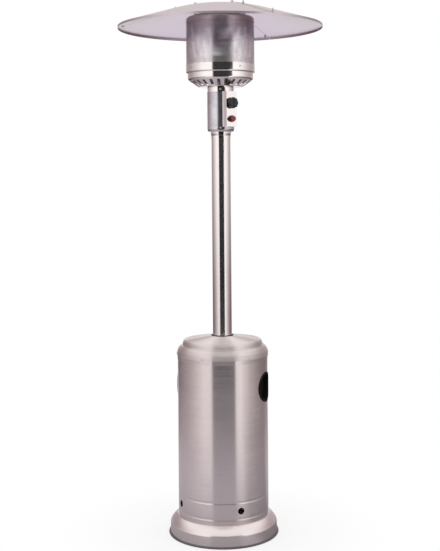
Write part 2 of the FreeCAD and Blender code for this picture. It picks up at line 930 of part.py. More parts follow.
# The tank housing: a rolled shell, its lid, and what is fixed to them. It slides up the post.
def make_housing():
    outer = d.shell_dia / 2
    wall = [(outer, d.shell_bottom_z)]
    groove(wall, d.groove_low_z, d.groove_half, d.groove_deep)
    groove(wall, d.groove_mid_z, d.groove_half, d.groove_deep)
    wall.append((outer, d.shell_top_z))
    tube = turned("shell_wall", thicken(wall, d.shell_sheet))
    grips = {"grip_cup_right": float(d.housing_turn), "grip_cup_left": float(d.housing_turn) + 180}
    screws = all_round(d.lid_screws)
    holes = [
        wall_hole(f"vent_hole_{i}", d.vent_dia, outer, d.vent_z, azimuth)
        for i, azimuth in enumerate(all_round(d.vents, d.housing_turn + d.vent_offset))
    ]
    mouth = d.grip_mouth_dia / 2 + d.grip_wall
    holes += [
        radial_rod(name + "_hole", mouth, d.grip_floor_out, outer + d.past, d.grip_z, azimuth)
        for name, azimuth in grips.items()
    ]
    holes += [
        wall_hole(f"shell_screw_hole_{i}", d.screw_hole_dia, outer, d.lid_screw_z, azimuth)
        for i, azimuth in enumerate(screws)
    ]
    keep(cut("housing_shell", tube, *holes))
    make_lid(screws)
    for name, azimuth in grips.items():
        make_grip(name, azimuth)


def make_lid(screws):
    """The pressed lid, its screws at these azimuths, and the grommet round the post."""
    lid = turned("lid_pressing", thicken([
        (d.lid_dia / 2, d.lid_bottom_z),
        (d.lid_fold_dia / 2, d.lid_skirt_z),
        (d.lid_waist_dia / 2, d.lid_waist_z, d.lid_waist_round),
        (d.lid_crease_dia / 2, d.lid_crease_z),
        (d.lid_shoulder_dia / 2, d.lid_shoulder_z, d.lid_shoulder_round),
        (d.lid_step_dia / 2, d.lid_step_z),
        (d.lid_rise_dia / 2, d.lid_rise_z),
        (d.lid_plateau_dia / 2, d.lid_plateau_z, d.lid_plateau_round),
        (d.lid_hole_dia / 2, d.lid_top_z),
    ], d.lid_sheet))
    holes = [
        wall_hole(f"lid_screw_hole_{i}", d.screw_hole_dia, d.lid_fold_dia / 2, d.lid_screw_z, azimuth)
        for i, azimuth in enumerate(screws)
    ]
    keep(cut("housing_lid", lid, *holes))
    radial_screws(
        "lid_screws", TRIM_SCREW, d.trim_screw_long, d.lid_fold_dia / 2 + d.seat, d.lid_screw_z, screws
    )
    bore = d.grommet_bore / 2
    waist = d.lid_hole_dia / 2 - d.grommet_groove
    rim = d.lid_hole_dia / 2 + d.grommet_lip
    top, flange = d.lid_top_z, d.grommet_flange
    low = top - d.grommet_deep
    keep(turned("lid_grommet", [
        (bore, low),
        (rim, low),
        (rim, low + flange),
        (waist, low + flange + d.slack),
        (waist, top + d.grommet_groove),
        (rim - d.edge, top + d.rest),
        (rim - d.edge * 2, top + d.grommet_brow, d.grommet_round),
        (bore + d.edge, top + flange),
        (bore, top + flange - d.edge, d.edge),
    ]))


def make_grip(name, azimuth):
    """A recessed hand grip: a cup through the shell, with a rim that follows the shell's curve."""
    shell = d.shell_dia / 2
    face = shell + d.grip_stand
    end = face + d.past
    back = d.grip_floor_out - d.grip_wall
    mouth = d.grip_mouth_dia / 2
    low, high = d.grip_z - d.grip_dia, d.grip_dia * 2
    wall = radial_rod(name + "_wall", mouth + d.grip_wall - d.grip_lap, back, end, d.grip_z, azimuth)
    cup = common(name + "_cup", wall, rod(name + "_face", face, high, 0, 0, low))
    plug = radial_rod(name + "_plug", d.grip_dia / 2, back - d.past, end, d.grip_z, azimuth)
    layer = cut(
        name + "_layer",
        rod(name + "_outer", face, high, 0, 0, low),
        rod(name + "_inner", shell + d.rest, high + d.past * 2, 0, 0, low - d.past),
    )
    rim = common(name + "_rim", plug, layer)
    hollow = radial_rod(name + "_hollow", mouth - d.grip_inset, d.grip_floor_out, end, d.grip_z, azimuth)
    keep(cut(name, fuse(name + "_body", cup, rim), hollow))


# The valve housing: a can on the post's top, the neck above it, and the screws that hold both.
def make_valve_housing():
    outer = d.can_dia / 2
    post = d.post_dia / 2
    can = turned("can_pressing", thicken([
        (post + d.play, d.can_bottom_z),
        (outer - d.can_round, d.can_bottom_z),
        (outer, d.can_bottom_z + d.can_round, d.can_round),
        (outer, d.can_top_z),
    ], d.can_sheet))
    low = d.panel_bottom_z + d.panel_margin
    window = front_block("can_window", d.panel_window, d.can_top_z - d.panel_margin - low, low)
    turns = screw_azimuths()
    holes = [
        wall_hole(f"can_hole_{i}", d.screw_hole_dia, outer, d.can_screw_z, a) for i, a in enumerate(turns)
    ]
    keep(cut("valve_housing", can, window, *holes))
    inner = outer - d.can_sheet - d.rest
    adapter = turned("adapter_ring", [
        (post + d.fit, d.adapter_bottom_z),
        (inner, d.adapter_shoulder_z),
        (inner, d.adapter_top_z),
        (post + d.fit, d.adapter_top_z),
    ])
    holes = [
        wall_hole(f"adapter_hole_{i}", d.screw_hole_dia, outer, d.can_screw_z, a)
        for i, a in enumerate(turns)
    ]
    keep(cut("post_adapter", adapter, *holes))
    radial_screws("housing_screws", CAN_SCREW, d.can_screw_long, outer + d.seat, d.can_screw_z, turns)
    make_neck(turns)


def make_neck(turns):
    """The neck between the can and the bowl, with its screws and the shelf inside it."""
    outer = d.neck_dia / 2
    inner = outer - d.neck_wall
    high = d.neck_top_z - d.neck_bottom_z
    tube = rod("neck_outside", outer, high, 0, 0, d.neck_bottom_z)
    inside = rod("neck_inside", inner, high + d.past * 2, 0, 0, d.neck_bottom_z - d.past)
    holes = [
        wall_hole(f"neck_hole_{i}", d.screw_hole_dia, outer, d.neck_screw_z, a) for i, a in enumerate(turns)
    ]
    notch_low = d.neck_bottom_z - d.past
    notch = front_block("neck_notch", d.panel_window, d.past + d.neck_notch_high, notch_low)
    keep(cut("burner_neck", tube, inside, notch, *holes))
    radial_screws("neck_screws", NECK_SCREW, d.neck_screw_long, outer + d.seat, d.neck_screw_z, turns)
    shelf_z = d.valve_bottom_z + d.valve_high
    shelf = rod("shelf_disc", inner - d.fit, d.shelf_thick, 0, 0, shelf_z)
    ways = [plate_hole("shelf_jet_hole", d.shelf_jet_hole_dia, 0, 0, shelf_z)]
    ways += [
        plate_hole(f"shelf_lead_hole_{i}", d.lead_hole_dia, x, -d.lead_out, shelf_z)
        for i, x in enumerate(lead_places())
    ]
    keep(cut("valve_shelf", shelf, *ways))


def front_block(name, wide, high, z):
    """A box that cuts a window through the front of the can or the neck."""
    return block(name, wide, d.past * 3, high, -wide / 2, -d.can_dia / 2 - d.past, z)


def lead_places():
    """X places of the thermocouple, the electrode and the pilot tube, side by side."""
    return [-d.lead_apart, 0, d.lead_apart]


def screw_azimuths():
    turn = float(d.screw_turn)
    return [-turn, turn, 180 - turn, 180 + turn]


# The control panel: a folded box on the can, with the valve, its knob and the igniter.
def make_controls():
    half = d.panel_wide / 2
    sheet_t = d.panel_sheet
    high = d.can_top_z - d.panel_bottom_z
    deep = d.panel_out - d.panel_back
    whole = block("panel_block", d.panel_wide, deep, high, -half, -d.panel_out, d.panel_bottom_z)
    hollow = block(
        "panel_hollow", d.panel_wide - sheet_t * 2, deep + d.past, high - sheet_t * 2,
        sheet_t - half, sheet_t - d.panel_out, d.panel_bottom_z + sheet_t,
    )
    seat = rod(
        "panel_seat", d.can_dia / 2 + d.fit, high + d.past * 2, 0, 0, d.panel_bottom_z - d.past
    )
    stem_hole = wall_hole("panel_stem_hole", d.stem_hole_dia, d.panel_out, d.knob_z, 0)
    igniter_hole = wall_hole(
        "panel_igniter_hole", d.igniter_body_dia + d.fit * 2, d.panel_out, d.igniter_z, 0
    )
    boxed = cut("panel_boxed", whole, hollow, seat, stem_hole, igniter_hole)
    rounded = doc.addObject("Part::Fillet", "control_panel")
    doc.recompute()
    rounded.Base = boxed
    edge = float(d.panel_edge)
    rounded.Edges = [(i, edge, edge) for i in front_edges(boxed)]
    keep(rounded)
    make_valve()
    make_knob()
    make_igniter()


def front_edges(thing):
    """Numbers of the long upright edges of the panel's front."""
    near = 0.01
    found = []
    for number, edge in enumerate(thing.Shape.Edges, start=1):
        box = edge.BoundBox
        at_front = abs(box.YMin + float(d.panel_out)) < near and box.YLength < near
        at_side = abs(abs(box.XMin) - float(d.panel_wide) / 2) < near and box.XLength < near
        if at_front and at_side and box.ZLength > float(d.panel_wide):
            found.append(number)
    return found


def make_valve():
    """The gas valve with its stem, the collar that the knob pushes, the tilt switch and the jet."""
    body = block(
        "valve_block", d.valve_wide, d.valve_deep, d.valve_high,
        -d.valve_wide / 2, -d.valve_wide, d.valve_bottom_z,
    )
    bonnet = radial_rod("valve_bonnet", d.bonnet_dia / 2, d.panel_back, d.bonnet_out, d.knob_z, 0)
    stem = d.stem_dia / 2
    bore = radial_rod("valve_bore", stem + d.play, d.valve_wide / 2, d.panel_out, d.knob_z, 0)
    keep(cut("gas_valve", fuse("valve_body", body, bonnet), bore))
    end = d.knob_back + d.stem_grip
    shaft = radial_rod("stem_round", stem, d.stem_in, end, d.knob_z, 0)
    flat = block(
        "stem_flat", d.stem_dia, d.stem_grip, d.stem_dia, -stem, -end, d.knob_z + d.stem_flat_up
    )
    keep(cut("valve_stem", shaft, flat))
    ring = radial_rod(
        "push_ring", d.push_ring_dia / 2, d.push_ring_in, d.push_ring_in + d.push_ring_thick, d.knob_z, 0
    )
    bore = wall_hole("push_bore", d.stem_dia + d.play * 2, d.push_ring_in, d.knob_z, 0)
    keep(cut("push_collar", ring, bore))
    keep(block(
        "tilt_switch", d.switch_wide, d.switch_deep, d.switch_high,
        d.valve_wide / 2, -d.switch_deep / 2, d.knob_z - d.switch_deep,
    ))
    jet, tip = d.jet_dia / 2, d.jet_tip_dia / 2
    low = d.valve_bottom_z + d.valve_high
    keep(turned("main_jet", [
        (0, low),
        (jet, low),
        (jet, low + d.jet_shoulder),
        (tip, low + d.jet_high),
        (0, low + d.jet_high),
    ]))


def make_knob():
    """A fluted knob on a smaller hub, with a pointer slot across the front."""
    radius = d.knob_dia / 2
    back, thick, bend = d.knob_back, d.knob_thick, d.knob_round
    front = back + thick
    low, face = d.knob_hub_thick, radius - d.knob_taper
    drum = place(turned("knob_drum", [
        (0, low),
        (radius - d.edge, low),
        (radius, low + d.edge, d.edge),
        (face, thick - bend),
        (face - bend, thick, bend),
        (0, thick),
    ]), 0, -back, d.knob_z, FORWARD)
    flutes = []
    for i, azimuth in enumerate(all_round(d.knob_flutes, 180 / float(d.knob_flutes))):
        x, down = outward(azimuth)
        flutes.append(rod(
            f"knob_flute_{i}", d.flute_dia / 2, thick * 2,
            d.flute_out * x, -back, d.knob_z - d.flute_out * down, FORWARD,
        ))
    fluted = cut("knob_fluted", drum, *flutes)
    hub = radial_rod("knob_hub", d.knob_hub_dia / 2, back, front - bend, d.knob_z, 0)
    long = d.knob_dia - d.pointer_margin * 2
    slot = block(
        "knob_slot", d.pointer_wide, d.pointer_deep + d.past, long,
        -d.pointer_wide / 2, -front - d.past, d.knob_z - long / 2,
    )
    socket = radial_rod(
        "knob_socket", d.stem_dia / 2 + d.seat, back - d.past, back + d.stem_grip + d.rest, d.knob_z, 0
    )
    keep(cut("control_knob", fuse("knob_body", hub, fluted), slot, socket))


def make_igniter():
    """A push-button piezo igniter: its flanged body through the panel, a nut and the button."""
    body = d.igniter_body_dia / 2
    bezel, thick = d.igniter_bezel_dia / 2, d.igniter_bezel_thick
    z = d.igniter_z
    button = d.button_dia / 2
    tube = radial_rod("igniter_tube", body, d.igniter_in, d.panel_out + d.edge, z, 0)
    flange = turned("igniter_flange", [
        (0, d.seat),
        (bezel, d.seat),
        (bezel, thick - d.edge),
        (bezel - d.edge, thick, d.edge),
        (0, thick),
    ])
    place(flange, 0, -d.panel_out, z, FORWARD)
    bore = radial_rod("igniter_bore", button + d.play, d.igniter_bore_in, d.panel_out + d.past, z, 0)
    keep(cut("igniter_body", fuse("igniter_case", tube, flange), bore))
    inside = d.panel_out - d.panel_sheet - d.fit
    nut = radial_rod("igniter_nut_body", d.igniter_nut_dia / 2, inside - d.igniter_nut_thick, inside, z, 0)
    keep(cut("igniter_nut", nut, wall_hole("igniter_nut_bore", d.igniter_body_dia + d.fit, inside, z, 0)))
    long = d.button_out - d.button_back
    bend = d.button_round
    keep(place(turned("igniter_button", [
        (0, 0),
        (button, 0),
        (button, long - bend),
        (button - bend, long, bend),
        (0, long),
    ]), 0, -d.button_back, z, FORWARD))


# The burner head: bowl, band, screen and cap outside, and the burner and pilot inside.
def make_burner():
    outer = d.bowl_dia / 2
    bowl = turned("bowl_pressing", thicken([
        (d.neck_dia / 2 + d.rest, d.bowl_flat_z),
        (d.bowl_flat_dia / 2, d.bowl_flat_z + d.bowl_flat_rise),
        (d.bowl_knee_dia / 2, d.bowl_knee_z),
        (outer, d.bowl_wall_z, d.bowl_round),
        (outer, d.bowl_top_z),
    ], d.bowl_sheet))
    long = d.slot_outer - d.slot_inner
    low = d.bowl_flat_z - d.past
    slots = [
        radial_block(f"bowl_slot_{i}", long, d.slot_wide, d.bowl_wall_z - low, d.slot_inner, low, a)
        for i, a in enumerate(all_round(d.slots, 180 / float(d.slots)))
    ]
    keep(cut("burner_bowl", bowl, *slots))
    make_band()
    make_cap()
    make_flame_parts()


def make_band():
    """The band that clamps the screen to the bowl, its screws, and the screen."""
    band = d.band_dia / 2
    low, bend = d.band_bottom_z, d.band_round
    ring = turned("band_pressing", thicken([
        (d.bowl_dia / 2 + d.slack, low),
        (band - bend, low),
        (band, low + bend, bend),
        (band, d.band_top_z),
    ], d.band_sheet))
    screws = all_round(d.band_screws)
    holes = [
        wall_hole(f"band_hole_{i}", d.screw_hole_dia, band, d.band_screw_z, a) for i, a in enumerate(screws)
    ]
    keep(cut("burner_band", ring, *holes))
    radial_screws("band_screws", TRIM_SCREW, d.trim_screw_long, band + d.seat, d.band_screw_z, screws)
    screen = d.screen_dia / 2
    foot = low + bend + d.fit
    high = d.screen_top_z - foot
    tube = rod("screen_outside", screen, high, 0, 0, foot)
    inside = rod("screen_inside", screen - d.screen_sheet, high + d.past * 2, 0, 0, foot - d.past)
    holes = [
        wall_hole(f"screen_hole_{i}", d.screw_hole_dia, screen, d.band_screw_z, a)
        for i, a in enumerate(screws)
    ]
    keep(cut("emitter_screen", tube, inside, *holes))


def make_cap():
    """The cap that closes the screen, with a hole for each stud of the reflector."""
    wall = d.screen_dia / 2 + d.fit + d.band_sheet
    top, bend = d.cap_top_z, d.cap_round
    pressing = turned("cap_pressing", thicken([
        (wall, d.cap_bottom_z),
        (wall, top - bend),
        (wall - bend, top, bend),
        (0, top),
    ], d.band_sheet))
    holes = [
        plate_hole(f"cap_stud_hole_{i}", d.stud_dia + d.rest * 2, *xy, top)
        for i, xy in enumerate(stud_places())
    ]
    keep(cut("emitter_cap", pressing, *holes))


def stud_azimuths():
    return all_round(4, float(d.stud_turn) % 90)


def stud_places():
    return [(d.stud_out * ux, d.stud_out * uy) for ux, uy in map(outward, stud_azimuths())]


def make_flame_parts():
    """The floor plate, the mixing tube with its burner, and the pilot group beside it."""
    plate = rod(
        "floor_disc", d.screen_dia / 2 - d.screen_sheet - d.play, d.floor_thick, 0, 0, d.floor_z
    )
    mixer = d.mixer_dia / 2
    ways = [plate_hole("floor_mixer_hole", d.mixer_dia + d.rest * 2, 0, 0, d.floor_z)]
    ways += [
        plate_hole(f"floor_lead_hole_{i}", d.lead_hole_dia, x, -d.pilot_out, d.floor_z)
        for i, x in enumerate(lead_places())
    ]
    keep(cut("burner_floor", plate, *ways))
    high = d.mixer_top_z - d.mixer_bottom_z
    tube = rod("mixer_outside", mixer, high, 0, 0, d.mixer_bottom_z)
    inside = rod(
        "mixer_inside", mixer - d.mixer_wall, high + d.past * 2, 0, 0, d.mixer_bottom_z - d.past
    )
    ports = [
        wall_hole(f"air_port_{i}", d.air_port_dia, mixer, d.air_port_z, a)
        for i, a in enumerate(all_round(d.air_ports, 180 / float(d.air_ports)))
    ]
    keep(cut("mixing_tube", tube, inside, *ports))
    make_burner_head()
    make_pilot()


def make_burner_head():
    edge, shoulder, bend = d.burner_dia / 2, d.burner_shoulder_dia / 2, d.burner_round
    collar = d.mixer_dia / 2 + d.burner_collar
    head = turned("burner_pressing", thicken([
        (collar, d.burner_collar_z),
        (collar, d.mixer_top_z),
        (shoulder, d.burner_shoulder_z),
        (edge, d.burner_edge_z, bend),
        (shoulder, d.burner_crown_z, bend),
        (d.burner_flat_dia / 2, d.burner_top_z),
        (0, d.burner_top_z),
    ], d.burner_sheet))
    low = d.burner_top_z - d.past
    slits = [
        radial_block(f"burner_slit_{i}", d.slit_long, d.slit_wide, d.past * 2, d.slit_inner, low, a)
        for i, a in enumerate(all_round(d.slits))
    ]
    keep(cut("burner_head", head, *slits))


def make_pilot():
    """The pilot bracket and what comes up through it: thermocouple, electrode and pilot tube."""
    low = d.floor_z + d.floor_thick + d.fit
    x, y = -d.bracket_wide / 2, -d.bracket_out
    plate = block("pilot_plate", d.bracket_wide, d.bracket_thick, d.bracket_high, x, y, low)
    foot = block("pilot_foot", d.bracket_wide, d.bracket_deep, d.bracket_thick, x, y, low)
    places = lead_places()
    holes = [
        plate_hole(f"pilot_foot_hole_{i}", d.lead_hole_dia, place_x, -d.pilot_out, low)
        for i, place_x in enumerate(places)
    ]
    keep(cut("pilot_bracket", fuse("pilot_angle", plate, foot), *holes))
    start = d.valve_bottom_z + d.valve_high
    kinds = (
        ("thermocouple", d.thermocouple_dia, d.thermocouple_tip_z),
        ("ignition_electrode", d.electrode_dia, d.electrode_tip_z),
        ("pilot_burner", d.pilot_dia, d.pilot_tip_z),
    )
    for place_x, (name, dia, tip) in zip(places, kinds):
        keep(tube_along(name, [
            (place_x, -d.lead_out, start),
            (place_x, -d.lead_out, d.lead_slant_z),
            (place_x, -d.pilot_out, d.lead_upright_z),
            (place_x, -d.pilot_out, tip),
        ], dia / 2, d.lead_bend))


# The reflector: three overlapping sectors on four studs, with bolts along the seams.
def dome_arc():
    """Radius of the dome's round middle, and where its straight cone begins."""
    slope = math.radians(float(d.dome_slope))
    lack = math.tan(slope) * math.sin(slope) - (1 - math.cos(slope))
    round_r = (d.dome_dia / 2 * math.tan(slope) - d.dome_rise) / lack
    return round_r, round_r * math.sin(slope), round_r * (1 - math.cos(slope))


def dome_top_z():
    return d.dome_rim_z + d.dome_rise


def cone_z(out):
    """Height of the straight cone's upper face, with its formula."""
    _, start, drop = dome_arc()
    return dome_top_z() - drop - (out - start) * math.tan(math.radians(float(d.dome_slope)))


def dome_z(out):
    """Height of the dome's upper face at a distance from the axis."""
    round_r, start, _ = dome_arc()
    if float(out) > float(start):
        return float(cone_z(out))
    fall = float(round_r) - math.sqrt(float(round_r) ** 2 - float(out) ** 2)
    return float(dome_top_z()) - fall


def seam_layer(name, low, high, angle, azimuth):
    """A strip along a seam, between two heights over the dome's upper face."""
    round_r, start, drop = dome_arc()
    bend_z = dome_top_z() - drop
    first, last = d.seam_inner, d.dome_dia / 2 - d.seam_margin
    layer = turned(name, [
        (last, cone_z(last) + low),
        (last, cone_z(last) + high),
        (start, bend_z + high),
        (first, dome_z(first) + high, round_r),
        (first, dome_z(first) + low),
        (start, bend_z + low, -round_r),
    ], angle)
    layer.Placement = FreeCAD.Placement(FreeCAD.Vector(), turned_by(azimuth - 90))
    return layer


def make_reflector():
    wide = float(d.sector_angle)
    middle = float(d.seam_angle) / 2
    gap = float(d.seam_gap_angle)
    for i, azimuth in enumerate(all_round(3, d.sector_turn)):
        seam = azimuth + wide - gap - float(d.riser_angle)
        riser = seam_layer(f"riser_{i}", -d.riser_sunk, d.seam_rise, d.riser_angle, seam)
        strip = seam_layer(f"strip_{i}", d.seam_lap, d.seam_rise, d.seam_angle + 1, seam)
        holes = [
            dome_hole(f"seam_hole_{i}_{end}_{k}", d.seam_hole_dia, out, turn + middle)
            for k, out in enumerate((d.seam_bolt_inner, d.seam_bolt_outer))
            for end, turn in enumerate((azimuth, azimuth + wide))
        ]
        holes += [
            dome_hole(f"stud_hole_{i}_{k}", d.stud_hole_dia, d.stud_out, turn)
            for k, turn in enumerate(stud_azimuths()) if azimuth < turn < azimuth + wide
        ]
        sheets = fuse(f"panel_sheet_{i}", sector(f"sector_{i}", wide - gap * 2, azimuth + gap), riser, strip)
        keep(cut(f"reflector_panel_{i + 1}", sheets, *holes))
    make_stud_fixings()
    make_seam_fixings()


def sector(name, angle, azimuth):
    """A third of the dome, with its turned-down lip."""
    rim, inner = d.dome_dia / 2, d.dome_dia / 2 - d.dome_sheet
    round_r, start, drop = dome_arc()
    bend_z = dome_top_z() - drop
    hub = d.dome_hole_dia / 2
    made = turned(name, [
        (rim, d.dome_rim_z - d.dome_lip),
        (rim, d.dome_rim_z),
        (start, bend_z),
        (hub, dome_z(hub), round_r),
        (hub, dome_z(hub) - d.dome_sheet),
        (start, bend_z - d.dome_sheet, -(round_r - d.dome_sheet)),
        (inner, d.dome_rim_z - d.dome_sheet - d.rest),
        (inner, d.dome_rim_z - d.dome_lip),
    ], angle)
    made.Placement = FreeCAD.Placement(FreeCAD.Vector(), turned_by(azimuth - 90))
    return made


def dome_hole(name, dia, out, azimuth):
    """An upright rod that cuts a hole through the dome."""
    ux, uy = outward(azimuth)
    low = d.dome_rim_z - d.past
    return rod(name, dia / 2, d.dome_rise + d.past * 2, out * ux, out * uy, low)


def make_stud_fixings():
    """The studs that carry the reflector, the spacers under it and the domed nuts on top."""
    stud, spacer_r = d.stud_dia / 2, d.spacer_dia / 2
    bore = stud + d.seat
    foot = d.cap_top_z + d.seat
    under = dome_z(d.stud_out + spacer_r) - d.dome_sheet - d.fit
    crest = dome_z(d.stud_out - spacer_r) + d.fit
    spacers, studs, nuts = [], [], []
    for i, (x, y) in enumerate(stud_places()):
        body = rod(f"spacer_body_{i}", spacer_r, under - foot, x, y, foot)
        low = foot - d.past
        through = rod(f"spacer_bore_{i}", bore + d.seat, crest - low, x, y, low)
        spacers.append(cut(f"spacer_{i}", body, through))
        low = d.cap_top_z - d.stud_sunk
        studs.append(rod(f"stud_{i}", stud, crest + d.stud_end - low, x, y, low))
        nuts.append(place(turned(f"cap_nut_{i}", [
            (bore, 0),
            (spacer_r, 0),
            (spacer_r, d.cap_nut_wall_high),
            (d.cap_nut_brow_dia / 2, d.cap_nut_brow_high, d.cap_nut_round),
            (d.cap_nut_tip_dia / 2, d.cap_nut_high, d.cap_nut_round),
            (0, d.cap_nut_high),
            (0, d.cap_nut_inside_high),
            (bore, d.cap_nut_inside_high),
        ]), x, y, crest))
    keep(group("reflector_spacers", spacers))
    keep(group("reflector_studs", studs))
    keep(group("reflector_cap_nuts", nuts))


def make_seam_fixings():
    """Two bolts with round nuts along each seam."""
    head, shank = d.seam_head_dia / 2, d.seam_bolt_dia
    bolts, nuts = [], []
    for i, azimuth in enumerate(all_round(3, d.sector_turn + d.seam_angle / 2)):
        ux, uy = outward(azimuth)
        for k, out in enumerate((d.seam_bolt_inner, d.seam_bolt_outer)):
            x, y = out * ux, out * uy
            under = dome_z(out + head) - d.dome_sheet - d.slack
            over = dome_z(out - head) + d.seam_rise + d.fit
            long = over - under + d.seam_bolt_end
            bolts.append(screw(f"seam_bolt_{i}_{k}", SEAM_BOLT, long, x, y, under, UPSIDE_DOWN))
            body = rod(f"seam_nut_body_{i}_{k}", head, d.seam_nut_high, x, y, over)
            bore = plate_hole(f"seam_nut_bore_{i}_{k}", shank + d.fit, x, y, over)
            nuts.append(cut(f"seam_nut_{i}_{k}", body, bore))
    keep(group("seam_bolts", bolts))
    keep(group("seam_nuts", nuts))


def check_and_write():
    """Stops on a failed feature or a bad shape, then writes one file for each sub-part."""
    doc.recompute()
    failed = [o.Name for o in doc.Objects if "Invalid" in o.State or "Error" in o.State]
    if failed:
        raise RuntimeError(f"these objects failed: {failed}")
    for thing in subparts:
        shape = thing.Shape
        if shape.isNull() or not shape.isValid() or not shape.Solids:
            raise RuntimeError(f"{thing.Label} has no valid solid")
    os.makedirs("parts", exist_ok=True)
    for name in os.listdir("parts"):
        if name.endswith(".step"):
            os.remove(os.path.join("parts", name))
    for thing in subparts:
        thing.Shape.exportStep(os.path.join("parts", thing.Label + ".step"))
    print(len(subparts), "sub-parts written")


make_base()
make_legs()
make_post()
make_gas_line()
make_housing()
make_valve_housing()
make_controls()
make_burner()
make_reflector()
check_and_write()
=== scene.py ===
import math

import bmesh
import bpy
from mathutils import Matrix, Vector


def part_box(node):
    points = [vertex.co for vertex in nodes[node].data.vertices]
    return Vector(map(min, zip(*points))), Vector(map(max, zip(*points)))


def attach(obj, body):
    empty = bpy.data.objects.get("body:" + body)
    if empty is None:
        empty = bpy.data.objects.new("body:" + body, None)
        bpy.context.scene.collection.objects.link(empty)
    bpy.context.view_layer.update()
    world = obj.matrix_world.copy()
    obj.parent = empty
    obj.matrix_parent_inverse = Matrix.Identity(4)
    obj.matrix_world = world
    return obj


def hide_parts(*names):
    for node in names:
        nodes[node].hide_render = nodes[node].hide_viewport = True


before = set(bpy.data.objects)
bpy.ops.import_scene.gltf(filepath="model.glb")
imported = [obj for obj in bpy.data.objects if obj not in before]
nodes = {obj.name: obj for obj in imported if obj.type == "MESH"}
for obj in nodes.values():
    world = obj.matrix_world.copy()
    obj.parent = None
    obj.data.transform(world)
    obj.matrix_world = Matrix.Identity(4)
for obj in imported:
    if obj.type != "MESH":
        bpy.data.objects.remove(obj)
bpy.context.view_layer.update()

# The fit of the photograph's camera to the heater: metres and degrees, and for the focal length, the
# shifts and the image's height the photograph's pixels.
CAMERA_AZIMUTH = -34.0
CAMERA_AWAY = 4.384
CAMERA_HIGH = 1.516
TILT = 1.4
ROLL = -0.44
FOCAL_PIXELS = 1037.4
HORIZON_SHIFT = 75.9
SIDE_SHIFT = 1.4
IMAGE_HIGH = 551
SENSOR = 36.0
VIEW_END = 60.0

WHITE = (1.0, 1.0, 1.0, 1.0)
BLACK = (0.0, 0.0, 0.0, 1.0)

# What shiny metal sees round the studio: the walls' levels by degrees to the right of the camera, over
# eye level and under it. Heights are given as the sine of an elevation.
HIGH_WALLS = [
    (-180, 0.9), (-172, 0.85), (-163, 0.42), (-150, 0.4), (-122, 0.38), (-100, 0.6), (-82, 0.78),
    (-66, 0.98), (-50, 1.04), (53, 1.07), (68, 1.0), (84, 0.82), (103, 0.56), (126, 0.42),
    (150, 0.5), (163, 0.5), (172, 0.85), (180, 0.9),
]
LOW_WALLS = [
    (-180, 0.9), (-172, 0.85), (-163, 0.07), (-150, 0.08), (-122, 0.19), (-100, 0.24), (-82, 0.34),
    (-66, 0.49), (-50, 0.73), (-33, 0.75), (33, 0.92), (45, 0.88), (57, 0.62), (72, 0.4),
    (89, 0.25), (108, 0.165), (130, 0.13), (163, 0.16), (172, 0.85), (180, 0.9),
]
WALL_CHANGE = (-0.16, 0.02)
CEILING_CHANGE = (0.35, 0.75)
# Powers of red, green and blue, which make the darker levels rosy.
ROSE = (1.0, 1.16, 1.13)
# The dark doorway behind the camera: its sides and half of their soft edge in degrees, how far the
# right side moves out by the height FLARE_TOP, and how dark it all is by degrees of elevation.
DOORWAY_LEFT = -27.0
DOORWAY_RIGHT = 32.0
DOORWAY_SOFT = 2.0
DOORWAY_FLARE = 10.0
FLARE_TOP = 0.09
DOORWAY_SHADE = [(-90, 0.98), (8, 0.98), (15, 0.38), (45, 0.3), (65, 0.0)]

# The floor as the camera sees it: its share of plain white rises with the distance in metres. The rest
# is matt and takes the heater's shadow.
FLOOR_RADIUS = 5.0
FLOOR_SIDES = 128
FLOOR_COLOUR = (0.98, 0.98, 0.98, 1.0)
GLOW_RISE = (0.28, 0.8)
GLOW_SHARE = (0.65, 1.0)
# The floor in reflections: its level, and how it gives way to the walls, by distance in metres. It
# doesn't give way straight behind the heater, and it is darker towards the camera's right. These
# two directions are given as the cosine of an angle.
FLOOR_LEVEL = [(0.25, 0.36), (0.8, 0.5), (2.5, 0.9)]
FLOOR_FADE = [(0.3, 0.0), (0.8, 0.08), (1.3, 0.25), (2.0, 0.68), (3.7, 0.88), (5.0, 1.0)]
FLOOR_TINT = (1.0, 0.95, 1.04)
FADE_START = (-0.97, -0.88)
RIGHT_START = (0.66, 0.9)
RIGHT_LEVEL = (1.0, 0.58)

# Colours of the sheet metals, as linear values.
STEEL = (0.86, 0.77, 0.75)
BRIGHT_STEEL = (0.95, 0.89, 0.87)
SCREEN_STEEL = (0.99, 0.93, 0.94)
HEATED_STEEL = (0.74, 0.66, 0.74)
# The reflector's two colours are painted light. Its top is painted darker and rosier as shade, and its
# underside brighter and cooler as light. The worn factors give random darker tone.
DOME_TOP_PAINTED_SHADE = (0.60, 0.49, 0.51)
DOME_UNDERSIDE_PAINTED_LIGHT = (0.80, 0.735, 0.78)
DOME_OUTSIDE_WORN = 0.9
DOME_INSIDE_WORN = 0.93
# How far the reflector's outside faces up, and its underside down, where its painted shade and its painted
# light meet.
DOME_TURN = 0.1

# Scales of the grain. A triple is for angle, height and radius round the upright axis, apart from the
# heat clouds, whose triple is for X, Y and Z. The last two are shares of a finish's own scale.
BRUSH_LINES = (2.5, 3000.0, 3000.0)
BRUSH_STREAKS = (0.9, 260.0, 260.0)
BRUSH_CLOUDS = 6.0
SPUN_LINES = (300.0, 6.0, 6.0)
SPUN_CLOUDS = 5.0
HEAT_CLOUDS = (40.0, 40.0, 16.0)
SCREEN_GRAIN = 500.0
METAL_CLOUDS = 1 / 20
PLASTIC_CLOUDS = 1 / 60
# How high the grain stands, in metres, and how far roughness strays from its middle.
SHEET_RELIEF = 0.0001
FINE_RELIEF = 0.00008
METAL_WEAR = (0.85, 1.2)
PLASTIC_WEAR = (0.9, 1.12)
DOME_ROUGH = (0.26, 0.36)
SCREEN_ROUGH = (0.22, 0.27)
# Where the screen's heat tint starts, in metres under its foot, and how uneven the tint is.
HEAT_START = 0.05
HEAT_UNEVEN = 0.3
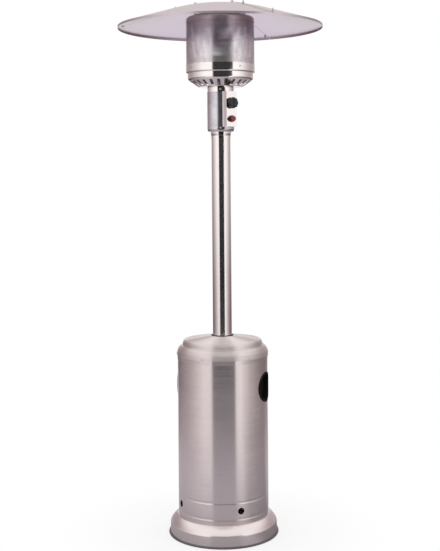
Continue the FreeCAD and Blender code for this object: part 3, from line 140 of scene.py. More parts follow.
# The height of the lid's fold, under which its pressed skirt is half as rough.
LID_FOLD = 0.7555
FOLD_SOFT = 0.001

# Nodes whose surface differs from the rest of their material slot.
OWN_FINISHES = {
    "main_post": "drawn_steel",
    "housing_lid": "pressed_steel",
    "emitter_cap": "tinted_steel",
    # The foot ring's black rubber is painted grey: a painted sheen for the light that its rounded edge
    # catches.
    "foot_ring": "grey_rubber",
    "valve_housing": "dull_steel",
    "grip_cup_left": "matt_plastic",
    "grip_cup_right": "matt_plastic",
}

# Sizes of the pieces that are made here, in metres.
TRIM_SCREW = dict(head=0.007, high=0.0018, shank=0.004, long=0.006)
CAN_SCREW = dict(head=0.008, high=0.0024, shank=0.004, long=0.008)
NECK_SCREW = dict(head=0.009, high=0.003, shank=0.004, long=0.006)
# Name, body, kind, distance from the axis, height and azimuths.
SCREW_SETS = [
    ("lid_screws", "tank_housing", TRIM_SCREW, 0.19285, 0.761, [60 * k for k in range(6)]),
    ("band_screws", "heater", TRIM_SCREW, 0.14455, 1.960, [90 * k for k in range(4)]),
    ("housing_screws", "heater", CAN_SCREW, 0.05655, 1.710, [-35, 35, 145, 215]),
    ("neck_screws", "heater", NECK_SCREW, 0.05535, 1.871, [-35, 35, 145, 215]),
]
SCREW_SIDES = 32
SCREW_FIRST_TURN = 23
SCREW_NEXT_TURN = 37
DOME_STEPS = 8
THREAD_PITCH = 0.001
THREAD_DEEP = 0.0004
# The rim and the cross of a screw's head, as shares of its width or height.
RIM_HIGH = 0.22
RIM_BEVEL = 0.3
CROSS_ARM = 0.3
CROSS_WIDE = 0.075
CROSS_FLOOR = 0.42
# How far a cutter stands past the solid that it cuts, and its parts past each other.
CUT_PAST = 0.001
CROSS_PAST = 0.00001

SCREEN_SHEET = 0.0008
SCREEN_COLUMNS = 144
SCREEN_ROWS = 37
SCREEN_HOLE = 0.0019
HOLE_SIDES = 6
# Corners of the screen's cells meet if they share a twelfth of a cell and a micron of height. At the
# border over the ninth row the two rows' heights round to different microns, so it stays open.
CELL_PARTS = 12
MICRONS = 1e6
SAME_PLACE = 1e-6

KNOB_STEPS = 192
KNOB_RADIUS = 0.0235
KNOB_THICK = 0.016
KNOB_HUB = 0.019
KNOB_HUB_THICK = 0.003
KNOB_BORE = 0.0034
KNOB_BORE_DEEP = 0.008
KNOB_LIP = 0.001
KNOB_LIP_ROUND = 0.0003
KNOB_ROUND = 0.0028
KNOB_ROUND_STEPS = 8
KNOB_FACE_STEPS = 12
KNOB_FACE_STEP = 0.08
KNOB_TAPER = 0.0006
KNOB_BACK = 0.0838
KNOB_HEIGHT = 1.812
CHEEK_OUT = 0.0115
CHEEK_FALL = 0.0018
FLUTES = 8
FLUTE_RADIUS = 0.020
FLUTE_OUT = 0.0419
FLUTE_SOFT = 0.0008
SLOT_WIDE = 0.0034
SLOT_DEEP = 0.0036
SLOT_LONG = 0.035
SLOT_PAST = 0.003

# The hose's slight bends: X, Y and the distance under the valve, then X, Y and the height over its end.
HOSE_DIAMETER = 0.010
HOSE_UPPER = [(0, 0, 0), (0, 0, 0.06), (0.009, 0.003, 0.30), (-0.007, 0.006, 0.52), (-0.004, -0.008, 0.74)]
HOSE_LOWER = [(0.002, 0, 0.16), (0, 0, 0.07), (0, 0, 0)]


def outward(azimuth):
    """Unit vector of an azimuth in degrees, measured from the front (-Y) towards +X."""
    angle = math.radians(azimuth)
    return Vector((math.sin(angle), -math.cos(angle), 0.0))


def turned_out(azimuth):
    """Turns +Z to the outward direction of an azimuth."""
    return Matrix.Rotation(math.radians(azimuth), 4, "Z") @ Matrix.Rotation(math.radians(90), 4, "X")


def link(thing):
    """Puts an object in the scene."""
    bpy.context.scene.collection.objects.link(thing)


def make_camera():
    """The photograph's camera. It looks nearly level, and its frame is shifted down to the heater's foot."""
    data = bpy.data.cameras.new("camera")
    data.sensor_width = SENSOR
    data.lens = FOCAL_PIXELS / IMAGE_HIGH * SENSOR
    data.shift_x = -SIDE_SHIFT / IMAGE_HIGH
    data.shift_y = -HORIZON_SHIFT / IMAGE_HIGH
    data.clip_end = VIEW_END
    camera = bpy.data.objects.new("camera", data)
    link(camera)
    place = outward(CAMERA_AZIMUTH) * CAMERA_AWAY + Vector((0, 0, CAMERA_HIGH))
    turn = Matrix.Rotation(math.radians(CAMERA_AZIMUTH), 4, "Z")
    pitch = Matrix.Rotation(math.radians(90 - TILT), 4, "X")
    roll = Matrix.Rotation(math.radians(ROLL), 4, "Z")
    camera.matrix_world = Matrix.Translation(place) @ turn @ pitch @ roll
    bpy.context.scene.camera = camera
    bpy.context.scene.view_settings.view_transform = "Standard"


class Shader:
    """A node tree that is built by short calls: a number, a colour or another node's socket goes in."""

    def __init__(self, tree):
        self.tree = tree
        tree.nodes.clear()

    def feed(self, socket, value):
        if isinstance(value, bpy.types.NodeSocket):
            self.tree.links.new(value, socket)
        else:
            socket.default_value = value

    def add(self, kind, inputs=None, **settings):
        node = self.tree.nodes.new(kind)
        for key, value in settings.items():
            setattr(node, key, value)
        for key, value in (inputs or {}).items():
            self.feed(node.inputs[key], value)
        return node

    def math(self, operation, a, b=0.0, clamp=False):
        node = self.add("ShaderNodeMath", {0: a, 1: b}, operation=operation, use_clamp=clamp)
        return node.outputs[0]

    def ramp(self, value, low, high, out_low=0.0, out_high=1.0, smooth=True):
        """Maps the range from low to high to the range from out_low to out_high, and stops at its ends."""
        node = self.add(
            "ShaderNodeMapRange",
            {"Value": value, "From Min": low, "From Max": high, "To Min": out_low, "To Max": out_high},
            interpolation_type="SMOOTHSTEP" if smooth else "LINEAR",
        )
        return node.outputs["Result"]

    def spread(self, noise, out_low=0.0, out_high=1.0, reach=0.2):
        """Maps noise to a range. Most of its values lie within this reach of a half."""
        return self.ramp(noise, 0.5 - reach, 0.5 + reach, out_low, out_high)

    def noise(self, vector, scale, detail=3.0):
        node = self.add(
            "ShaderNodeTexNoise",
            {"Vector": vector, "Scale": scale, "Detail": detail, "Roughness": 0.55},
        )
        return node.outputs["Fac"]

    def stretched_noise(self, vector, scales, detail=3.0):
        """Noise with a scale of its own along each coordinate."""
        node = self.add("ShaderNodeMapping", {"Vector": vector, "Scale": scales})
        return self.noise(node.outputs["Vector"], 1.0, detail)

    def mix(self, factor, a, b):
        """A blend of two colours. Their sockets come after those for numbers and vectors."""
        node = self.add("ShaderNodeMix", data_type="RGBA")
        self.feed(node.inputs[0], factor)
        self.feed(node.inputs[6], a)
        self.feed(node.inputs[7], b)
        return node.outputs[2]

    def average(self, a, b, share=0.5):
        """A blend of two values, with the given share of the first."""
        return self.math("ADD", self.math("MULTIPLY", a, share), self.math("MULTIPLY", b, 1 - share))

    def bump(self, height, strength, distance):
        node = self.add("ShaderNodeBump", {"Height": height, "Strength": strength, "Distance": distance})
        return node.outputs["Normal"]

    def curve(self, value, stops, bend=(1.0, 1.0, 1.0)):
        """A ramp through (place, level) stops, with places from 0 to 1 and a power for each channel."""
        node = self.add("ShaderNodeValToRGB", {0: value})
        made = node.color_ramp.elements
        while len(made) < len(stops):
            made.new(1.0)
        for element, (place, level) in zip(made, stops):
            element.position = place
            element.color = (*(level ** power for power in bend), 1.0)
        return node.outputs["Color"]

    def object_place(self):
        return self.add("ShaderNodeTexCoord").outputs["Object"]

    def split(self, vector):
        return self.add("ShaderNodeSeparateXYZ", {0: vector}).outputs

    def across(self, x, y):
        """The length of a level step."""
        return self.math("SQRT", self.math("ADD", self.math("POWER", x, 2.0), self.math("POWER", y, 2.0)))

    def along(self, part, direction):
        """How far a place, as split X, Y and Z, lies in a level direction."""
        return self.math(
            "ADD",
            self.math("MULTIPLY", part["X"], direction.x),
            self.math("MULTIPLY", part["Y"], direction.y),
        )

    def round_coordinates(self):
        """Object coordinates as (angle, height, radius), for grain that runs round the upright axis."""
        part = self.split(self.object_place())
        angle = self.math("ARCTAN2", part["Y"], part["X"])
        joined = self.add(
            "ShaderNodeCombineXYZ", {0: angle, 1: part["Z"], 2: self.across(part["X"], part["Y"])}
        )
        return joined.outputs[0]

    def by_ray(self, rays, plain, special):
        """The special closure for these kinds of rays, and the plain one for the rest."""
        light_path = self.add("ShaderNodeLightPath")
        node = self.add("ShaderNodeMixShader", {0: light_path.outputs[rays], 1: plain, 2: special})
        return node.outputs[0]


def by_degrees(stops):
    """Stops of a curve whose places are degrees of elevation, moved to the sine's range of 0 to 1."""
    return [(math.sin(math.radians(angle)) / 2 + 0.5, level) for angle, level in stops]


def doorway_shade(shader, around, height):
    """How dark the doorway is, by the angle from the camera's side and the height."""
    left, right, flare, soft = (
        math.radians(angle) for angle in (DOORWAY_LEFT, DOORWAY_RIGHT, DOORWAY_FLARE, DOORWAY_SOFT)
    )
    wider = shader.ramp(height, 0.0, FLARE_TOP, 0.0, flare)
    inside = shader.math(
        "MULTIPLY",
        shader.ramp(around, left - soft, left + soft),
        shader.ramp(shader.math("SUBTRACT", around, wider), right - soft, right + soft, 1.0, 0.0),
    )
    place = shader.ramp(height, -1.0, 1.0, smooth=False)
    return shader.math("MULTIPLY", inside, shader.curve(place, by_degrees(DOORWAY_SHADE)))


def studio_ring(shader, direction):
    """Level of the studio's walls and doorway in a direction, by its angle from the camera's side."""
    turned = shader.add(
        "ShaderNodeVectorRotate",
        {"Vector": direction, "Angle": math.radians(-CAMERA_AZIMUTH)}, rotation_type="Z_AXIS",
    )
    part = shader.split(turned.outputs[0])
    around = shader.math("ARCTAN2", part["X"], shader.math("MULTIPLY", part["Y"], -1.0))
    place = shader.ramp(around, -math.pi, math.pi, smooth=False)
    low, high = (
        shader.curve(place, [(angle / 360 + 0.5, level) for angle, level in stops], ROSE)
        for stops in (LOW_WALLS, HIGH_WALLS)
    )
    walls = shader.mix(shader.ramp(part["Z"], *WALL_CHANGE), low, high)
    return shader.mix(doorway_shade(shader, around, part["Z"]), walls, BLACK)


def make_world():
    """White for the camera, even light for matt surfaces, and the studio's walls for shiny ones."""
    world = bpy.data.worlds.new("studio")
    bpy.context.scene.world = world
    world.use_nodes = True
    world.cycles.sampling_method = "NONE"
    shader = Shader(world.node_tree)
    direction = shader.add("ShaderNodeTexCoord").outputs["Generated"]
    height = shader.split(direction)["Z"]
    seen = shader.mix(shader.ramp(height, *CEILING_CHANGE), studio_ring(shader, direction), WHITE)
    even, shiny = (
        shader.add("ShaderNodeBackground", {"Color": colour, "Strength": 1.0}).outputs[0]
        for colour in (WHITE, seen)
    )
    output = shader.add("ShaderNodeOutputWorld")
    shader.feed(output.inputs["Surface"], shader.by_ray("Is Glossy Ray", even, shiny))


def mirrored_floor(shader, part, away):
    """The floor in reflections: a dim glow that turns clear with distance, so that the walls show."""
    share = shader.math("DIVIDE", away, FLOOR_RADIUS)
    level, fading = (
        shader.curve(share, [(far / FLOOR_RADIUS, value) for far, value in stops])
        for stops in (FLOOR_LEVEL, FLOOR_FADE)
    )
    forward, right = (
        shader.math("DIVIDE", shader.along(part, outward(azimuth)), away)
        for azimuth in (CAMERA_AZIMUTH, CAMERA_AZIMUTH + 90)
    )
    opening = shader.math("MULTIPLY", fading, shader.ramp(forward, *FADE_START))
    shaded = shader.math("MULTIPLY", level, shader.ramp(right, *RIGHT_START, *RIGHT_LEVEL))
    dim = shader.add("ShaderNodeEmission", {"Color": (*FLOOR_TINT, 1.0), "Strength": shaded}).outputs[0]
    clear = shader.add("ShaderNodeBsdfTransparent").outputs[0]
    return shader.add("ShaderNodeMixShader", {0: opening, 1: dim, 2: clear}).outputs[0]


def floor_material():
    """White with the heater's shadow for the camera, matt for light, and dimmer in reflections."""
    made = bpy.data.materials.new("studio_floor")
    made.use_nodes = True
    shader = Shader(made.node_tree)
    part = shader.split(shader.object_place())
    away = shader.across(part["X"], part["Y"])
    matt = shader.add("ShaderNodeBsdfDiffuse", {"Color": FLOOR_COLOUR}).outputs[0]
    glow = shader.add("ShaderNodeEmission", {"Color": WHITE, "Strength": 1.0}).outputs[0]
    outer = shader.ramp(away, *GLOW_RISE, *GLOW_SHARE)
    seen = shader.add("ShaderNodeMixShader", {0: outer, 1: matt, 2: glow}).outputs[0]
    unseen = shader.by_ray("Is Glossy Ray", matt, mirrored_floor(shader, part, away))
    output = shader.add("ShaderNodeOutputMaterial")
    shader.feed(output.inputs["Surface"], shader.by_ray("Is Camera Ray", unseen, seen))
    return made


def make_floor():
    """A white disc. It keeps the soft shadow, and fades into the white round it."""
    mesh = bpy.data.meshes.new("floor")
    bm = bmesh.new()
    bmesh.ops.create_circle(bm, cap_ends=True, segments=FLOOR_SIDES, radius=FLOOR_RADIUS)
    bm.to_mesh(mesh)
    bm.free()
    mesh.materials.append(floor_material())
    floor = bpy.data.objects.new("floor", mesh)
    link(floor)


def material(name):
    """A new material, its shader and its surface node."""
    made = bpy.data.materials.new(name)
    made.use_nodes = True
    shader = Shader(made.node_tree)
    surface = shader.add("ShaderNodeBsdfPrincipled")
    output = shader.add("ShaderNodeOutputMaterial")
    shader.feed(output.inputs["Surface"], surface.outputs[0])
    return made, shader, surface


def set_inputs(shader, surface, **values):
    """Feeds the surface's inputs, which are named in small letters with underscores."""
    for key, value in values.items():
        shader.feed(surface.inputs[key.replace("_", " ").title().replace("Ior", "IOR")], value)


def tone(colour, factor):
    """A colour made lighter or darker, with its alpha."""
    return tuple(min(1.0, c * factor) for c in colour) + (1.0,)


def worn(rough, wear):
    """The lowest and the highest roughness round a middle one."""
    return [rough * factor for factor in wear]


def steel_round(name, colour, rough, grain, grooved, vary=0.05, smooth_under=None):
    """Brushed sheet whose grain runs round the upright axis: fine long lines, broad streaks, faint
    clouds. The grain draws reflections out, and under the given height the sheet is half as rough."""
    made, shader, surface = material(name)
    place = shader.round_coordinates()
    lines = shader.stretched_noise(place, BRUSH_LINES, detail=2.0)
    streaks = shader.stretched_noise(place, BRUSH_STREAKS)
    clouds = shader.noise(shader.object_place(), BRUSH_CLOUDS)
    brushed = shader.average(lines, streaks, share=0.75)
    roughness = shader.spread(shader.average(streaks, clouds), *worn(rough, METAL_WEAR))
    if smooth_under is not None:
        height = shader.split(place)["Y"]
        rolled = shader.ramp(height, smooth_under - FOLD_SOFT, smooth_under + FOLD_SOFT, 0.5, 1.0)
        roughness = shader.math("MULTIPLY", roughness, rolled)
    tangent = shader.add("ShaderNodeTangent", direction_type="RADIAL", axis="Z")
    set_inputs(
        shader, surface,
        base_color=shader.mix(
            shader.spread(shader.average(brushed, clouds, share=0.6)),
            tone(colour, 1 - vary), tone(colour, 1 + vary),
        ),
        metallic=1.0,
        roughness=roughness,
        anisotropic=grain,
        anisotropic_rotation=0.25,
        tangent=tangent.outputs[0],
        normal=shader.bump(brushed, strength=grooved, distance=SHEET_RELIEF),
    )
    return made


def reflector_sheet(name):
    """Satin aluminium sheet, painted darker and rosier on top as shade, cooler and brighter underneath as
    light.
    """
    made, shader, surface = material(name)
    lines = shader.stretched_noise(shader.round_coordinates(), SPUN_LINES)
    clouds = shader.noise(shader.object_place(), SPUN_CLOUDS, detail=4.0)
    facing = shader.split(shader.add("ShaderNodeNewGeometry").outputs["Normal"])["Z"]
    # Painted light by facing: shade painted on the top, light painted on the underside.
    top_shade_share = shader.ramp(facing, -DOME_TURN, DOME_TURN)
    colour = shader.mix(top_shade_share, tone(DOME_UNDERSIDE_PAINTED_LIGHT, 1), tone(DOME_TOP_PAINTED_SHADE, 1))
    darker = shader.mix(top_shade_share, tone(DOME_UNDERSIDE_PAINTED_LIGHT, DOME_INSIDE_WORN), tone(DOME_TOP_PAINTED_SHADE, DOME_OUTSIDE_WORN))
    set_inputs(
        shader, surface,
        base_color=shader.mix(shader.spread(clouds), darker, colour),
        metallic=1.0,
        roughness=shader.spread(shader.average(lines, clouds, share=0.4), *DOME_ROUGH),
        normal=shader.bump(lines, strength=0.1, distance=SHEET_RELIEF),
    )
    return made


def metal_plain(name, colour, rough, scale, vary=0.08, relief=FINE_RELIEF):
    """Turned, cast or plated metal with an even grain."""
    made, shader, surface = material(name)
    place = shader.object_place()
    grain = shader.noise(place, scale, detail=4.0)
    clouds = shader.noise(place, scale * METAL_CLOUDS)
    set_inputs(
        shader, surface,
        base_color=shader.mix(
            shader.spread(shader.average(grain, clouds), reach=0.15),
            tone(colour, 1 - vary), tone(colour, 1 + vary),
        ),
        metallic=1.0,
        roughness=shader.spread(clouds, *worn(rough, METAL_WEAR)),
        normal=shader.bump(grain, strength=0.25, distance=relief),
    )
    return made


def heated_sheet(name):
    """The screen's bright sheet, which heat has tinted darker and more violet towards its top."""
    made, shader, surface = material(name)
    place = shader.object_place()
    low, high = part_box("emitter_screen")
    grain = shader.noise(place, SCREEN_GRAIN, detail=4.0)
    clouds = shader.stretched_noise(place, HEAT_CLOUDS, detail=4.0)
    height = shader.ramp(shader.split(place)["Z"], low[2] - HEAT_START, high[2])
    heat = shader.math("ADD", height, shader.spread(clouds, -HEAT_UNEVEN, HEAT_UNEVEN), clamp=True)
    set_inputs(
        shader, surface,
        base_color=shader.mix(heat, (*SCREEN_STEEL, 1.0), (*HEATED_STEEL, 1.0)),
        metallic=1.0,
        roughness=shader.spread(clouds, *SCREEN_ROUGH),
        normal=shader.bump(grain, strength=0.2, distance=FINE_RELIEF),
    )
    return made


def moulded(name, colour, rough, scale=900.0, relief=0.0001, vary=0.12, coat=0.0, shine=0.5):
    """Moulded plastic, rubber, paint or glaze: fine pebbling and faint tone changes."""
    made, shader, surface = material(name)
    place = shader.object_place()
    pebbles = shader.noise(place, scale)
    clouds = shader.noise(place, scale * PLASTIC_CLOUDS)
    set_inputs(
        shader, surface,
        base_color=shader.mix(
            shader.spread(clouds, reach=0.15), tone(colour, 1 - vary), tone(colour, 1 + vary)
        ),
        roughness=shader.spread(clouds, *worn(rough, PLASTIC_WEAR)),
        coat_weight=coat,
        specular_ior_level=shine,
        normal=shader.bump(pebbles, strength=0.3, distance=relief),
    )
    return made


def make_finishes():
    """Every finish by its name, from the function that makes it and what that needs."""
    recipes = {
        "brushed_steel": (steel_round, dict(colour=STEEL, rough=0.23, grain=0.8, grooved=0.07, vary=0.035)),
        "drawn_steel": (
            steel_round, dict(colour=BRIGHT_STEEL, rough=0.15, grain=0.6, grooved=0.03, vary=0.03),
        ),
        "pressed_steel": (
            steel_round,
            dict(colour=STEEL, rough=0.36, grain=1.0, grooved=0.04, vary=0.03, smooth_under=LID_FOLD),
        ),
        "polished_steel": (steel_round, dict(colour=BRIGHT_STEEL, rough=0.11, grain=0.3, grooved=0.03)),
        "tinted_steel": (metal_plain, dict(colour=(0.66, 0.56, 0.57), rough=0.24, scale=300.0, vary=0.15)),
        "dull_steel": (
            metal_plain, dict(colour=(0.66, 0.62, 0.66), rough=0.2, scale=260.0, vary=0.22, relief=0.0004),
        ),
        "reflector_aluminium": (reflector_sheet, {}),
        "emitter_mesh": (heated_sheet, {}),
        "dark_painted_steel": (
            moulded, dict(colour=(0.025, 0.025, 0.027), rough=0.45, scale=1400.0, relief=0.0002),
        ),
        "zinc_plated_steel": (metal_plain, dict(colour=(0.72, 0.70, 0.68), rough=0.32, scale=900.0)),
        "cast_burner": (
            metal_plain, dict(colour=(0.36, 0.34, 0.33), rough=0.5, scale=700.0, vary=0.15, relief=0.0003),
        ),
        "black_plastic": (
            moulded, dict(colour=(0.013, 0.012, 0.015), rough=0.26, scale=1500.0, relief=0.00006),
        ),
        "matt_plastic": (moulded, dict(colour=(0.006, 0.0055, 0.006), rough=0.6, shine=0.1)),
        "white_plastic": (moulded, dict(colour=(0.78, 0.76, 0.72), rough=0.35)),
        "red_plastic": (
            moulded,
            dict(colour=(0.2, 0.012, 0.016), rough=0.18, scale=1200.0, relief=0.00003, vary=0.08, coat=0.4),
        ),
        "black_rubber": (
            moulded, dict(colour=(0.018, 0.018, 0.019), rough=0.6, scale=1100.0, relief=0.0002),
        ),
        # Black rubber painted grey, as a painted sheen for the light that the foot ring's rounded edge
        # catches.
        "grey_rubber": (moulded, dict(colour=(0.10, 0.085, 0.088), rough=0.32, scale=1100.0)),
        "valve_aluminium": (
            metal_plain, dict(colour=(0.70, 0.69, 0.68), rough=0.4, scale=1000.0, vary=0.1, relief=0.0002),
        ),
        "brass": (metal_plain, dict(colour=(0.80, 0.56, 0.22), rough=0.25, scale=800.0)),
        "ceramic": (
            moulded,
            dict(colour=(0.80, 0.77, 0.70), rough=0.2, scale=500.0, relief=0.00005, vary=0.05, coat=0.5),
        ),
    }
    return {name: recipe(name, **values) for name, (recipe, values) in recipes.items()}


def paint_node(name, node):
    """Gives a node the finish of its material slot, or its own."""
    slot = node.material_slots[0].material.name
    node.data.materials.clear()
    node.data.materials.append(finishes[OWN_FINISHES.get(name, slot)])


def add_piece(name, bm, body, finish, smooth_angle=35.0):
    """Turns a bmesh into a piece that rides on a body and has a finish by its slot's name."""
    mesh = bpy.data.meshes.new(name)
    bmesh.ops.recalc_face_normals(bm, faces=bm.faces)
    for edge in bm.edges:
        edge.smooth = len(edge.link_faces) == 2 and edge.calc_face_angle(0.0) < math.radians(smooth_angle)
    for face in bm.faces:
        face.smooth = True
    bm.to_mesh(mesh)
    bm.free()
    mesh.materials.append(finishes[finish])
    piece = bpy.data.objects.new(name, mesh)
    link(piece)
    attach(piece, body)
    return piece


def revolved(bm, path, steps):
    """Turns a closed path of (radius, height) points round +Z. Points on the axis become single vertices."""
    rings = []
    for radius, height in path:
        if radius == 0:
            rings.append([bm.verts.new((0, 0, height))])
            continue
        angles = [2 * math.pi * k / steps for k in range(steps)]
        rings.append([bm.verts.new((radius * math.cos(a), radius * math.sin(a), height)) for a in angles])
    for low, high in zip(rings, rings[1:] + rings[:1]):
        if len(low) == 1 and len(high) == 1:
            continue
        for k in range(steps):
            lower = [low[k % len(low)], low[(k + 1) % len(low)]]
            upper = [high[(k + 1) % len(high)], high[k % len(high)]]
            bm.faces.new(dict.fromkeys(lower + upper))


def block(bm, low, high):
    """Adds a box between two corners and returns its vertices."""
    made = bmesh.ops.create_cube(bm, size=1.0)["verts"]
    for vert in made:
        vert.co = Vector(upper if c > 0 else lower for c, lower, upper in zip(vert.co, low, high))
    return made


def carved(bm, cutter):
    """The first solid with the second taken away. Both are used up."""
    objects = []
    for part in (bm, cutter):
        mesh = bpy.data.meshes.new("carving")
        bmesh.ops.recalc_face_normals(part, faces=part.faces)
        part.to_mesh(mesh)
        part.free()
        piece = bpy.data.objects.new("carving", mesh)
        link(piece)
        objects.append(piece)
    whole, tool = objects
    modifier = whole.modifiers.new("cut", "BOOLEAN")
    modifier.operation = "DIFFERENCE"
    modifier.solver = "EXACT"
    modifier.object = tool
    evaluated = whole.evaluated_get(bpy.context.evaluated_depsgraph_get())
    result = bmesh.new()
    result.from_mesh(evaluated.to_mesh())
    evaluated.to_mesh_clear()
    for piece in objects:
        bpy.data.objects.remove(piece)
    return result


def screw_path(head, high, shank, long):
    """Half the outline of a domed screw, from the top of its head to the tip of its threaded shank."""
    out, shaft = head / 2, shank / 2
    rim = high * RIM_HIGH
    bevel = rim * RIM_BEVEL
    path = [(0.0, high)]
    for k in range(1, DOME_STEPS + 1):
        angle = math.radians(90 * k / DOME_STEPS)
        path.append((out * math.sin(angle), rim + (high - rim) * math.cos(angle)))
    path += [(out, bevel), (out - bevel, 0.0), (shaft, 0.0)]
    for k in range(int((long - THREAD_PITCH) / THREAD_PITCH)):
        path.append((shaft, -THREAD_PITCH * (k + 0.25)))
        path.append((shaft - THREAD_DEEP, -THREAD_PITCH * (k + 0.6)))
    path += [(shaft * 0.8, THREAD_DEEP - long), (shaft * 0.4, -long), (0.0, -long)]
    return path


def screw_solid(head, high, shank, long):
    """A screw along +Z with a cross recess. Its head's underside is at z 0 and its shank below."""
    bm = bmesh.new()
    revolved(bm, screw_path(head, high, shank, long), SCREW_SIDES)
    cutter = bmesh.new()
    arm, width, floor, top = head * CROSS_ARM, head * CROSS_WIDE, high * CROSS_FLOOR, high + CUT_PAST
    block(cutter, (-arm, -width, floor), (arm, width, top))
    for vert in block(cutter, (-width, -arm, floor), (width, arm, top)):
        vert.co.z += CROSS_PAST
    return carved(bm, cutter)


def make_screws():
    """The sets of cross-head screws, each screw turned to a place of its own."""
    for name, body, kind, out, z, azimuths in SCREW_SETS:
        pattern = screw_solid(**kind)
        pattern_mesh = bpy.data.meshes.new("pattern")
        pattern.to_mesh(pattern_mesh)
        pattern.free()
        bm = bmesh.new()
        for k, azimuth in enumerate(azimuths):
            before = len(bm.verts)
            bm.from_mesh(pattern_mesh)
            bm.verts.ensure_lookup_table()
            own_turn = Matrix.Rotation(math.radians(SCREW_FIRST_TURN + SCREW_NEXT_TURN * k), 4, "Z")
            place = Matrix.Translation(outward(azimuth) * out + Vector((0, 0, z)))
            bmesh.ops.transform(bm, matrix=place @ turned_out(azimuth) @ own_turn, verts=bm.verts[before:])
        piece = add_piece(f"{name}_crossed", bm, body, "zinc_plated_steel")
        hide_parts(name)


def make_screen():
    """The emitter screen: a thin sheet rolled into a tube, pierced by staggered holes."""
    low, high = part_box("emitter_screen")
    radius = high[0]
    bottom, top = low[2], high[2]
    cell = 2 * math.pi * radius / SCREEN_COLUMNS
    corner = cell / math.sqrt(3)
    row_high = corner * 1.5
    first = (bottom + top) / 2 - row_high * (SCREEN_ROWS - 1) / 2
    turns = [2 * math.pi * k / HOLE_SIDES for k in range(HOLE_SIDES)]
    spokes = [Vector((math.sin(turn), math.cos(turn))) for turn in turns]
    bm = bmesh.new()
    shared = {}

    def rolled(place, depth):
        """A new vertex at a place on the unrolled sheet, on its outer or its inner side."""
        angle = place.x / radius
        reach = radius - depth * SCREEN_SHEET
        return bm.verts.new((reach * math.cos(angle), reach * math.sin(angle), place.y))

    def met(place, depth):
        """The vertex at a place where cells meet, made once."""
        around = round(place.x / cell * CELL_PARTS) % (SCREEN_COLUMNS * CELL_PARTS)
        key = (around, round(place.y * MICRONS), depth)
        if key not in shared:
            shared[key] = rolled(place, depth)
        return shared[key]

    for row in range(SCREEN_ROWS):
        for column in range(SCREEN_COLUMNS):
            middle = Vector(((column + row % 2 / 2) * cell, first + row * row_high))
            rims = []
            for depth in (0, 1):
                outer = [met(middle + spoke * corner, depth) for spoke in spokes]
                inner = [rolled(middle + spoke * SCREEN_HOLE, depth) for spoke in spokes]
                join_rings(bm, outer, inner)
                rims.append(inner)
            join_rings(bm, *rims)
    close_screen(bm, bottom, top)
    piece = add_piece("emitter_screen_pierced", bm, "heater", "emitter_mesh", smooth_angle=60.0)
    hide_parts("emitter_screen")


def join_rings(bm, first, second):
    """Faces between two rings with the same number of vertices."""
    for k in range(len(first)):
        n = (k + 1) % len(first)
        bm.faces.new((first[k], first[n], second[n], second[k]))


def close_screen(bm, bottom, top):
    """Strips from every open border to the nearer end of the sheet, and faces that join them there. The
    border over the ninth row gets strips too, which cover the holes under it, and the end faces cross
    the tube instead of only closing the sheet's edge."""
    open_edges = [edge for edge in bm.edges if len(edge.link_faces) == 1]
    middle = (bottom + top) / 2
    for end, upper in ((bottom, False), (top, True)):
        rim = [e for e in open_edges if (e.verts[0].co.z > middle) == upper]
        strip = bmesh.ops.extrude_edge_only(bm, edges=rim)["geom"]
        for item in strip:
            if isinstance(item, bmesh.types.BMVert):
                item.co.z = end
        edges = [item for item in strip if isinstance(item, bmesh.types.BMEdge)]
        ring = [e for e in edges if all(abs(v.co.z - end) < SAME_PLACE for v in e.verts)]
        bmesh.ops.bridge_loops(bm, edges=ring)


def knob_reach(angle):
    """The knob's outline at an angle: a circle with eight shallow flutes, softened where they meet."""
    step = 2 * math.pi / FLUTES
    off = (angle + step / 2) % step - step / 2
    side = FLUTE_OUT * math.sin(off)
    if abs(side) >= FLUTE_RADIUS:
        return KNOB_RADIUS
    flute = FLUTE_OUT * math.cos(off) - math.sqrt(FLUTE_RADIUS ** 2 - side ** 2)
    share = max(FLUTE_SOFT - abs(flute - KNOB_RADIUS), 0.0) / FLUTE_SOFT
    return min(flute, KNOB_RADIUS) - share * share * FLUTE_SOFT / 4


def knob_layers():
    """The knob's outline at its heights, from its bore to its face: (height, reach by angle) pairs."""
    for height, radius in (
        (KNOB_BORE_DEEP, KNOB_BORE), (0.0, KNOB_BORE), (0.0, KNOB_HUB), (KNOB_HUB_THICK, KNOB_HUB),
    ):
        yield height, lambda a: radius
    for rise, inset in ((0.0, KNOB_LIP), (KNOB_LIP_ROUND, KNOB_LIP_ROUND), (KNOB_LIP, 0.0)):
        yield KNOB_HUB_THICK + rise, lambda a: knob_reach(a) - inset
    for k in range(KNOB_ROUND_STEPS):
        turn = math.radians(90 * k / KNOB_ROUND_STEPS)
        drop = KNOB_TAPER + KNOB_ROUND * (1 - math.cos(turn))
        yield KNOB_THICK - KNOB_ROUND * (1 - math.sin(turn)), lambda a: knob_reach(a) - drop
    for k in range(KNOB_FACE_STEPS, 0, -1):
        yield KNOB_THICK, lambda a: (knob_reach(a) - KNOB_TAPER - KNOB_ROUND) * KNOB_FACE_STEP * k


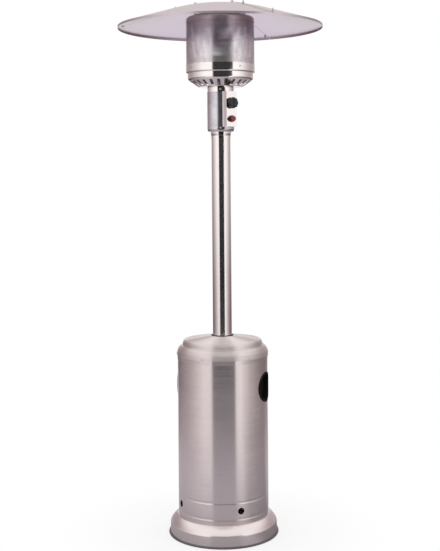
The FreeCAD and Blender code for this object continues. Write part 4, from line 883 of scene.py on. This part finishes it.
def make_knob():
    """A fluted knob on a smaller hub, with two crowned cheeks beside its pointer slot."""
    angles = [2 * math.pi * k / KNOB_STEPS for k in range(KNOB_STEPS)]
    bm = bmesh.new()
    layers = []
    for height, reach in knob_layers():
        share = max(0.0, 1 - (KNOB_THICK - height) / (KNOB_ROUND * 2))
        ring = []
        for a in angles:
            out = reach(a + math.pi / FLUTES)
            x = out * math.cos(a)
            fall = CHEEK_FALL * ((abs(x) - CHEEK_OUT) / CHEEK_OUT) ** 2
            ring.append(bm.verts.new((x, out * math.sin(a), height - fall * share)))
        layers.append(ring)
    for low, high in zip(layers, layers[1:]):
        join_rings(bm, low, high)
    bm.faces.new(layers[-1])
    bm.faces.new(reversed(layers[0]))
    cutter = bmesh.new()
    half_wide, half_long = SLOT_WIDE / 2, SLOT_LONG / 2
    floor, top = KNOB_THICK - SLOT_DEEP, KNOB_THICK + SLOT_PAST
    block(cutter, (-half_wide, -half_long, floor), (half_wide, half_long, top))
    bm = carved(bm, cutter)
    place = Matrix.Translation((0, -KNOB_BACK, KNOB_HEIGHT)) @ turned_out(0)
    bmesh.ops.transform(bm, matrix=place, verts=bm.verts)
    piece = add_piece("control_knob_fluted", bm, "knob", "black_plastic", smooth_angle=40.0)
    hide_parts("control_knob")


def make_hose():
    """The gas hose, which hangs inside the post from the valve to the regulator."""
    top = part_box("hose_nut")[1][2]
    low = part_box("gas_hose")[0][2]
    points = [(x, y, top - drop) for x, y, drop in HOSE_UPPER]
    points += [(x, y, low + rise) for x, y, rise in HOSE_LOWER]
    data = bpy.data.curves.new("gas_hose_bent", "CURVE")
    data.dimensions = "3D"
    data.bevel_depth = HOSE_DIAMETER / 2
    data.bevel_resolution = 6
    data.use_fill_caps = True
    data.resolution_u = 16
    spline = data.splines.new("NURBS")
    spline.points.add(len(points) - 1)
    for point, place in zip(spline.points, points):
        point.co = (*place, 1.0)
    spline.order_u = 3
    spline.use_endpoint_u = True
    data.materials.append(finishes["black_rubber"])
    hose = bpy.data.objects.new("gas_hose_bent", data)
    link(hose)
    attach(hose, "heater")
    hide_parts("gas_hose")


make_camera()
make_world()
make_floor()
finishes = make_finishes()
for name, node in nodes.items():
    paint_node(name, node)
make_hose()
make_screws()
make_screen()
make_knob()
